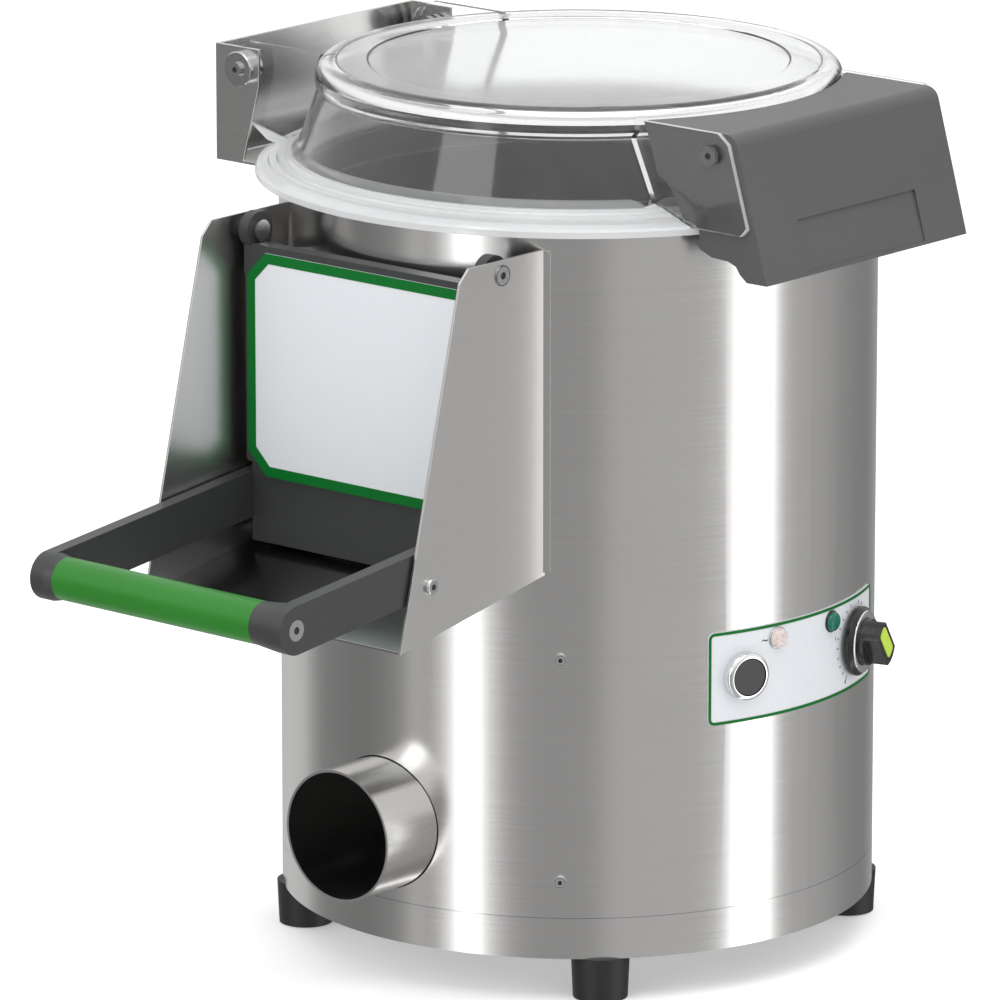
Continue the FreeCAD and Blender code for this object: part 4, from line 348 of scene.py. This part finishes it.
lid_copy = bpy.data.objects.new("soft_clear_lid", frame["nodes"]["clear_lid"].data.copy())
bpy.context.scene.collection.objects.link(lid_copy)
dress(lid_copy, "clear")
# A second slot, the painted sheen, for the ring and the wing edges.
lid_copy.data.materials.append(finishes["painted_rim_sheen"])
count = 0
for face in lid_copy.data.polygons:
    face.material_index = 1 if painted_rim_sheen(face) else 0
    count += face.material_index
settle(lid_copy, "lid")
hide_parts("clear_lid")
print("painted sheen faces", count, "of", len(lid_copy.data.polygons))

# %% [markdown]
# ## Printed frame of the door label
# The label is a plain pale plate with a green line round it and its corners cut off. The line is a thin
# printed film, so it is modelled as a plane whose corners are bevelled, inset once, emptied in the middle
# and given a little thickness.

# %% Door label frame
LABEL_LOW, LABEL_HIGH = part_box("door_label")
LABEL_CUT = 0.0144
LINE_WIDTH = 0.0062
FILM = 0.00025
UPRIGHT = (math.pi / 2, 0, 0)


def flat_frame(name, width, height, cut, line, segments=1):
    """A frame in the XZ plane, centred on the origin and facing -Y, with cut or rounded corners."""
    bpy.ops.object.select_all(action="DESELECT")
    bpy.ops.mesh.primitive_plane_add(size=1, rotation=UPRIGHT)
    piece = bpy.context.active_object
    piece.name = name
    piece.scale = (width, height, 1)
    bpy.ops.object.transform_apply(location=True, rotation=True, scale=True)
    bpy.ops.object.mode_set(mode="EDIT")
    bpy.ops.mesh.select_all(action="SELECT")
    bpy.ops.mesh.bevel(offset=cut, segments=segments, affect="VERTICES")
    bpy.ops.mesh.select_all(action="SELECT")
    bpy.ops.mesh.inset(thickness=line)
    bpy.ops.mesh.delete(type="FACE")
    bpy.ops.object.mode_set(mode="OBJECT")
    return piece


def thicken(piece, thickness):
    """Give a flat piece the thickness of a film, half of it on each side."""
    pick(piece)
    film = piece.modifiers.new("film", "SOLIDIFY")
    film.thickness = thickness
    film.offset = 0
    bpy.ops.object.modifier_apply(modifier="film")


width = LABEL_HIGH[0] - LABEL_LOW[0]
height = LABEL_HIGH[2] - LABEL_LOW[2]
door_frame = flat_frame("door_label_line", width, height, LABEL_CUT, LINE_WIDTH)
door_frame.location = (0, LABEL_LOW[1] - FILM / 2, (LABEL_LOW[2] + LABEL_HIGH[2]) / 2)
thicken(door_frame, FILM)
dress(door_frame, "label_green")
settle(door_frame, "door")
print("label frame", round(width, 4), "by", round(height, 4))

# %% [markdown]
# ## Control panel print
# The panel is a label bent round the shell. Its green line is drawn flat, cut into short pieces so that it
# can bend, and every point is then carried from the flat sheet onto the cylinder.

# %% Panel line, wrapped round the shell
PANEL_LOW, PANEL_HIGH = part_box("panel_label")
PANEL_RADIUS = 0.1809
PANEL_FROM, PANEL_TO = math.radians(-24.6), math.radians(26.4)
PANEL_MIDDLE = (PANEL_FROM + PANEL_TO) / 2
PANEL_Z = (PANEL_LOW[2] + PANEL_HIGH[2]) / 2
PANEL_TRIM = 0.0002
PANEL_CORNER = 0.0039
CORNER_SEGMENTS = 5
PANEL_LINE = 0.0018
BEND_STEP = 0.004
PANEL_LIFT = 0.00005


def wrap(piece, lift):
    """Carry a flat piece, drawn in XZ and facing -Y, onto the panel: x runs round the shell."""
    for vertex in piece.data.vertices:
        x, y, z = vertex.co
        turn = PANEL_MIDDLE + x / PANEL_RADIUS
        radius = PANEL_RADIUS + lift - y
        vertex.co = (radius * math.cos(turn), radius * math.sin(turn), z)
    piece.data.update()


def subdivide_long(piece, length):
    """Cut every face into strips no longer than a length along X, so that it can bend."""
    low = min(vertex.co.x for vertex in piece.data.vertices)
    high = max(vertex.co.x for vertex in piece.data.vertices)
    mesh = bmesh.new()
    mesh.from_mesh(piece.data)
    steps = int((high - low) / length)
    for step in range(1, steps):
        place = low + (high - low) * step / steps
        bmesh.ops.bisect_plane(mesh, geom=mesh.verts[:] + mesh.edges[:] + mesh.faces[:],
                               plane_co=(place, 0, 0), plane_no=(1, 0, 0))
    mesh.to_mesh(piece.data)
    mesh.free()


panel_width = PANEL_RADIUS * (PANEL_TO - PANEL_FROM) - PANEL_TRIM
panel_height = PANEL_HIGH[2] - PANEL_LOW[2] - PANEL_TRIM
panel_line = flat_frame("panel_line", panel_width, panel_height, PANEL_CORNER, PANEL_LINE,
                        CORNER_SEGMENTS)
subdivide_long(panel_line, BEND_STEP)
panel_line.location.z = PANEL_Z
pick(panel_line)
bpy.ops.object.transform_apply(location=True)
thicken(panel_line, FILM)
wrap(panel_line, FILM / 2 + PANEL_LIFT)
dress(panel_line, "label_green")
settle(panel_line, "machine")
print("panel line points", len(panel_line.data.vertices))

# %% [markdown]
# ## Timer scale
# The timer has plain minute ticks and numbers printed round its skirt. Each tick is a thin plane turned to
# its place, and the numbers are text made into a mesh, because the export keeps only meshes. Marks that
# would run off the panel are left out.

# %% Timer ticks and numbers
KNOB_ANGLE = math.radians(16.6)
KNOB_Z = 0.1935
KNOB_X = (KNOB_ANGLE - PANEL_MIDDLE) * PANEL_RADIUS
TICK_COUNT = 21
LONG_EVERY = 5
SWEEP = math.radians(300)
SCALE_START = math.radians(240)
TICK_INNER, TICK_OUTER, LONG_OUTER = 0.0224, 0.0244, 0.0250
TICK_WIDTH = 0.00045
TICK_MARGIN, NUMBER_MARGIN = 0.003, 0.0035
NUMBER_REACH, SIDE_REACH = 0.0262, 0.0268
NUMBERS = "01234"
NUMBER_SIZE, WAVE_SIZE = 0.0034, 0.0085
WAVE_ANGLE = math.radians(-12.1)
LAMP_Z = 0.2125
INK_FILM = 0.0001


def off_panel(height, margin):
    """True where a height is too near to the panel's upper or lower edge."""
    return abs(height - PANEL_Z) > panel_height / 2 - margin


def write(word, size, x, z):
    """A word centred on a place of the flat panel, made into a mesh."""
    bpy.ops.object.text_add(rotation=UPRIGHT)
    letter = bpy.context.active_object
    letter.data.body = word
    letter.data.size = size
    letter.data.align_x = "CENTER"
    letter.data.align_y = "CENTER"
    letter.location = (x, 0, z)
    pick(letter)
    bpy.ops.object.convert(target="MESH")
    bpy.ops.object.transform_apply(location=True, rotation=True, scale=True)
    return bpy.context.active_object


marks = []
for step in range(TICK_COUNT):
    turn = SCALE_START - SWEEP * step / (TICK_COUNT - 1)
    outer = LONG_OUTER if step % LONG_EVERY == 0 else TICK_OUTER
    if off_panel(KNOB_Z + outer * math.sin(turn), TICK_MARGIN):
        continue
    bpy.ops.mesh.primitive_plane_add(size=1)
    tick = bpy.context.active_object
    tick.scale = (outer - TICK_INNER, TICK_WIDTH, 1)
    tick.rotation_euler = UPRIGHT
    bpy.ops.object.transform_apply(rotation=True, scale=True)
    middle = (TICK_INNER + outer) / 2
    tick.rotation_euler = (0, -turn, 0)
    tick.location = (KNOB_X + middle * math.cos(turn), 0, KNOB_Z + middle * math.sin(turn))
    bpy.ops.object.transform_apply(location=True, rotation=True)
    marks.append(tick)
for index, word in enumerate(NUMBERS):
    turn = SCALE_START - SWEEP * index / (len(NUMBERS) - 1)
    reach = SIDE_REACH if index in (1, 3) else NUMBER_REACH
    number_x, number_z = KNOB_X + reach * math.cos(turn), KNOB_Z + reach * math.sin(turn)
    if not off_panel(number_z, NUMBER_MARGIN):
        marks.append(write(word, NUMBER_SIZE, number_x, number_z))
marks.append(write("~", WAVE_SIZE, (WAVE_ANGLE - PANEL_MIDDLE) * PANEL_RADIUS, LAMP_Z))
pick(marks[0])
for mark in marks:
    mark.select_set(True)
bpy.ops.object.join()
scale_print = bpy.context.active_object
scale_print.name = "timer_scale_print"
thicken(scale_print, INK_FILM)
wrap(scale_print, INK_FILM)
dress(scale_print, "ink")
settle(scale_print, "machine")
print("scale print points", len(scale_print.data.vertices))

# %% [markdown]
# ## Rings on the controls
# The knob has a bright disc in its skirt and each lamp sits in a thin plated ring. Both are turned pieces,
# so they start as primitives, get their section and are carried out to their places on the shell.

# %% Knob disc and lamp rings
KNOB_DISC_RADIUS = 0.1879
LAMP_RING_RADIUS = 0.1811
# Major and minor radius, segments, sides, and how far the section is scaled along the axis.
KNOB_DISC = (0.0162, 0.0026, 64, 12, 0.28)
LAMP_RING = (0.0061, 0.0007, 40, 10, 1.3)
# Name, degrees round the shell, finish.
LAMP_RINGS = (("clear_lamp_ring", -9.0, "turned"), ("green_lamp_ring", 6.8, "black_gloss"))


def turned_ring(name, major, minor, segments, sides, rise):
    """A ring drawn flat at the origin, whose section is scaled along its axis."""
    bpy.ops.object.select_all(action="DESELECT")
    bpy.ops.mesh.primitive_torus_add(major_radius=major, minor_radius=minor,
                                     major_segments=segments, minor_segments=sides)
    ring = bpy.context.active_object
    ring.name = name
    bpy.ops.object.mode_set(mode="EDIT")
    bpy.ops.mesh.select_all(action="SELECT")
    bpy.ops.transform.resize(value=(1, 1, rise))
    bpy.ops.object.mode_set(mode="OBJECT")
    return ring


def stand_out(piece, angle, radius, height):
    """Lay a piece drawn along Z on the shell, facing outwards."""
    piece.rotation_euler = (0, math.pi / 2, angle)
    piece.location = (radius * math.cos(angle), radius * math.sin(angle), height)


knob_disc = turned_ring("knob_disc", *KNOB_DISC)
stand_out(knob_disc, KNOB_ANGLE, KNOB_DISC_RADIUS, KNOB_Z)
bpy.ops.object.shade_smooth()
dress(knob_disc, "chrome")
settle(knob_disc, "timer")
for lamp_name, lamp_angle, finish in LAMP_RINGS:
    ring = turned_ring(lamp_name, *LAMP_RING)
    stand_out(ring, math.radians(lamp_angle), LAMP_RING_RADIUS, LAMP_Z)
    bpy.ops.object.shade_smooth()
    dress(ring, finish)
    settle(ring, "machine")
print("control rings placed")

# %% [markdown]
# ## Painted shade in the screw sockets
# A hexagon socket reads as dark, and the edge of a sunk head shows as a fine dark line: both are shade, and
# here they are painted. Each screw gets a dark six-sided plug a little below its face, painted shade for the
# socket, and the sunk ones get a thin dark ring, a painted shadow line. Both are drawn once, for a radius of
# 1 mm, and stamped at each screw.

# %% Painted shade: socket plugs and shadow rings
MODEL_RADIUS = 0.001
# Section of the thin dark ring, a painted shadow line round a sunk head.
SHADOW_LINE_RING = (MODEL_RADIUS, 0.00005, 40, 6, 0.7)
PLUG_DEPTH = 0.0003
PLUG_DISH = 0.0001
PLUG_SUNK = 0.0005
MOST_RISE = 4
SCREW_LEVELS = (("high", 0.210), ("low", 0.074))
SCREW_ANGLES = (-53, 67, 187)
SCREW_FACE = 0.1822
SCREW_SOCKET, SCREW_RING = 0.0014, 0.0029
UPPER_FACE = 0.9


def on_face(piece, place, facing):
    """Turn a piece drawn along Z to face a direction, at a place."""
    piece.rotation_euler = Vector(facing).to_track_quat("Z", "Y").to_euler()
    piece.location = place


# A dark six-sided plug, painted shade that fills a screw socket.
bpy.ops.object.select_all(action="DESELECT")
bpy.ops.mesh.primitive_cylinder_add(vertices=6, radius=MODEL_RADIUS, depth=PLUG_DEPTH)
hex_shade_plug = bpy.context.active_object
hex_shade_plug.name = "hex_shade_plug"
bpy.ops.object.mode_set(mode="EDIT")
bpy.ops.mesh.select_all(action="DESELECT")
bpy.ops.object.mode_set(mode="OBJECT")
for face in hex_shade_plug.data.polygons:
    face.select = face.normal.z > UPPER_FACE
bpy.ops.object.mode_set(mode="EDIT")
bpy.ops.mesh.select_mode(type="FACE")
bpy.ops.mesh.inset(thickness=PLUG_DISH)
bpy.ops.transform.translate(value=(0, 0, -PLUG_DISH))
bpy.ops.object.mode_set(mode="OBJECT")
# The thin dark ring of painted shadow round a sunk head.
shadow_line_ring = turned_ring("shadow_line_ring", *SHADOW_LINE_RING)


def stamp(model, place, facing, radius):
    """A copy of a model, at its real radius and place."""
    piece = model.copy()
    piece.data = model.data.copy()
    bpy.context.scene.collection.objects.link(piece)
    grow = radius / MODEL_RADIUS
    piece.scale = (grow, grow, min(grow, MOST_RISE))
    on_face(piece, place, facing)
    return piece


def socket(name, place, facing, radius, body, ring=0.0):
    """Painted shade for one screw: a dark plug in its socket, and a fine dark ring where the head is sunk."""
    plug = stamp(hex_shade_plug, Vector(place) - PLUG_SUNK * Vector(facing), facing, radius)
    plug.scale.z = 1
    pick(plug)
    if ring:
        stamp(shadow_line_ring, place, facing, ring).select_set(True)
        bpy.ops.object.join()
    shade = bpy.context.active_object
    shade.name = name
    dress(shade, "socket")
    settle(shade, body)


# Sockets that face along X, then those that face along Y: name, low and high corner of both screws,
# radius, body and the ring's radius.
ALONG_X = (
    ("pivot", *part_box("pivot_bolts"), 0.0024, "machine", 0.0058),
    ("chute", *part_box("chute_screws"), 0.0022, "machine", 0.0),
    ("grip", *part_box("grip_screws"), 0.0022, "door", 0.0),
)
ALONG_Y = (
    ("handle", *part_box("handle_screws"), 0.0021, "lid"),
    ("hinge", *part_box("hinge_pins"), 0.0019, "machine"),
)
for side, tag in ((1, "right"), (-1, "left")):
    for screw_name, low, high, radius, body, ring in ALONG_X:
        x = high[0] if side > 0 else low[0]
        socket(screw_name + "_socket_" + tag, (x, (low[1] + high[1]) / 2, (low[2] + high[2]) / 2),
               (side, 0, 0), radius, body, ring)
    for screw_name, low, high, radius, body in ALONG_Y:
        y = high[1] if side > 0 else low[1]
        socket(screw_name + "_socket_" + tag, ((low[0] + high[0]) / 2, y, (low[2] + high[2]) / 2),
               (0, side, 0), radius, body)
for angle in SCREW_ANGLES:
    turn = math.radians(angle)
    facing = (math.cos(turn), math.sin(turn), 0)
    for level, height in SCREW_LEVELS:
        place = (SCREW_FACE * facing[0], SCREW_FACE * facing[1], height)
        socket("body_socket_%s_%d" % (level, angle), place, facing, SCREW_SOCKET, "machine",
               SCREW_RING)
for model in (hex_shade_plug, shadow_line_ring):
    bpy.data.objects.remove(model)
print("sockets shaded")

# %% [markdown]
# ## Stage
# The photograph has a white ground with soft grey reflections in the steel. The floor is a pale plane that
# takes the shadow; it glows a little for the eye, so that it stays white, and the steel doesn't mirror it.
# The world is plain white for the camera and through the clear lid. For reflections it has the softboxes
# and dark flags of a studio, spread round the horizon, under an even sky.

# %% Floor
FLOOR_SIZE = 14
FLOOR_Z = -0.0005
FLOOR_GREY = 0.93
FLOOR_ROUGHNESS = 0.8
FLOOR_GLOW = 0.22


def seen_directly(nodes, links):
    """1 for rays of the camera and rays let through, and 0 for all others."""
    path = nodes.new("ShaderNodeLightPath")
    return math_node(nodes, links, "MAXIMUM", path.outputs["Is Camera Ray"],
                     path.outputs["Is Transmission Ray"])


bpy.ops.object.select_all(action="DESELECT")
bpy.ops.mesh.primitive_plane_add(size=FLOOR_SIZE, location=(0, 0, FLOOR_Z))
floor = bpy.context.active_object
floor.name = "studio_floor"
floor_paint = bpy.data.materials.new("studio floor")
floor_paint.use_nodes = True
nodes, links = floor_paint.node_tree.nodes, floor_paint.node_tree.links
shader = nodes["Principled BSDF"]
shader.inputs["Base Color"].default_value = (FLOOR_GREY, FLOOR_GREY, FLOOR_GREY, 1)
shader.inputs["Roughness"].default_value = FLOOR_ROUGHNESS
glow = math_node(nodes, links, "MULTIPLY", seen_directly(nodes, links), FLOOR_GLOW)
links.new(glow, shader.inputs["Emission Strength"])
shader.inputs["Emission Color"].default_value = (1, 1, 1, 1)
floor.data.materials.append(floor_paint)
floor.visible_glossy = False

# %% World
# The direction in degrees, from +X towards +Y, and the brightness of the horizon there.
HORIZON = [
    (-201, 0.62), (-180, 0.50), (-168, 0.26), (-140, 0.20), (-122, 0.28), (-115, 0.62), (-108, 0.30),
    (-99, 0.9), (-95, 2.6), (-90, 2.6), (-86, 0.8), (-76, 0.42), (-68, 0.34), (-45, 0.34), (-36, 0.50),
    (5, 0.52), (11, 0.85), (15, 2.6), (28, 2.6), (33, 0.50), (55, 0.44), (80, 0.28), (100, 0.24),
    (130, 0.5), (159, 0.62),
]
SKY = 1.0
SKY_FROM, SKY_FULL = 0.02, 0.30

world = bpy.data.worlds.new("studio")
bpy.context.scene.world = world
world.use_nodes = True
nodes, links = world.node_tree.nodes, world.node_tree.links
nodes.clear()
plain = nodes.new("ShaderNodeBackground")
plain.inputs["Color"].default_value = (1, 1, 1, 1)
plain.inputs["Strength"].default_value = 1.0
coords = nodes.new("ShaderNodeTexCoord")
direction = nodes.new("ShaderNodeSeparateXYZ")
links.new(coords.outputs["Generated"], direction.inputs["Vector"])
compass = math_node(nodes, links, "ARCTAN2", direction.outputs["Y"], direction.outputs["X"])
turn_share = nodes.new("ShaderNodeMapRange")
turn_share.inputs["From Min"].default_value = -math.pi
turn_share.inputs["From Max"].default_value = math.pi
links.new(compass, turn_share.inputs["Value"])
ramp = nodes.new("ShaderNodeValToRGB")
stops = sorted((((angle + 180) % 360) / 360, value) for angle, value in HORIZON)
strongest = max(value for _, value in stops)
elements = ramp.color_ramp.elements
elements[0].position, elements[1].position = stops[0][0], stops[-1][0]
for place, value in stops[1:-1]:
    elements.new(place)
for element, (place, value) in zip(sorted(elements, key=lambda e: e.position), stops):
    grey = value / strongest
    element.color = (grey, grey, grey, 1)
links.new(turn_share.outputs["Result"], ramp.inputs["Fac"])
height_share = nodes.new("ShaderNodeMapRange")
height_share.interpolation_type = "SMOOTHSTEP"
height_share.inputs["From Min"].default_value = SKY_FROM
height_share.inputs["From Max"].default_value = SKY_FULL
links.new(direction.outputs["Z"], height_share.inputs["Value"])
sky_grey = SKY / strongest
around = nodes.new("ShaderNodeMix")
around.data_type = "RGBA"
links.new(height_share.outputs["Result"], around.inputs["Factor"])
links.new(ramp.outputs["Color"], around.inputs["A"])
around.inputs["B"].default_value = (sky_grey, sky_grey, sky_grey, 1)
studio = nodes.new("ShaderNodeBackground")
links.new(around.outputs["Result"], studio.inputs["Color"])
studio.inputs["Strength"].default_value = strongest
choose = nodes.new("ShaderNodeMixShader")
links.new(seen_directly(nodes, links), choose.inputs["Fac"])
links.new(studio.outputs[0], choose.inputs[1])
links.new(plain.outputs[0], choose.inputs[2])
out = nodes.new("ShaderNodeOutputWorld")
links.new(choose.outputs[0], out.inputs["Surface"])

# %% Lamps
# Name, place, point that it faces, width and depth, power.
SOFTBOXES = (
    ("top_softbox", (0.6, -0.6, 3.0), (0, 0, 0.3), (2.6, 2.6), 40),
    ("front_softbox", (-0.6, -3.6, 1.6), (0, -0.1, 0.3), (1.6, 1.6), 17),
)


def softbox(name, place, aim, size, power):
    """A square area lamp that faces a point."""
    data = bpy.data.lights.new(name, "AREA")
    data.shape = "RECTANGLE"
    data.size, data.size_y = size
    data.energy = power
    lamp = bpy.data.objects.new(name, data)
    bpy.context.scene.collection.objects.link(lamp)
    lamp.location = place
    lamp.rotation_euler = (Vector(aim) - Vector(place)).to_track_quat("-Z", "Y").to_euler()


for row in SOFTBOXES:
    softbox(*row)

# %% [markdown]
# ## Camera
# The machine was photographed from well back with a long lens, a little from above and from its right.

# %% Camera
AZIMUTH, ELEVATION = math.radians(40.72), math.radians(14.17)
CAMERA_PLACE = (3.36120, -3.97732, 1.57613)
SENSOR_MM, LENS_MM = 36, 319.5
FARTHEST = 50

camera_data = bpy.data.cameras.new("photo_camera")
camera_data.sensor_width = SENSOR_MM
camera_data.lens = LENS_MM
camera_data.clip_end = FARTHEST
camera = bpy.data.objects.new("photo_camera", camera_data)
bpy.context.scene.collection.objects.link(camera)
back = Vector((math.sin(AZIMUTH) * math.cos(ELEVATION), -math.cos(AZIMUTH) * math.cos(ELEVATION),
               math.sin(ELEVATION)))
camera.location = CAMERA_PLACE
camera.rotation_euler = (-back).to_track_quat("-Z", "Y").to_euler()
bpy.context.scene.camera = camera
bpy.context.scene.view_settings.view_transform = "Standard"
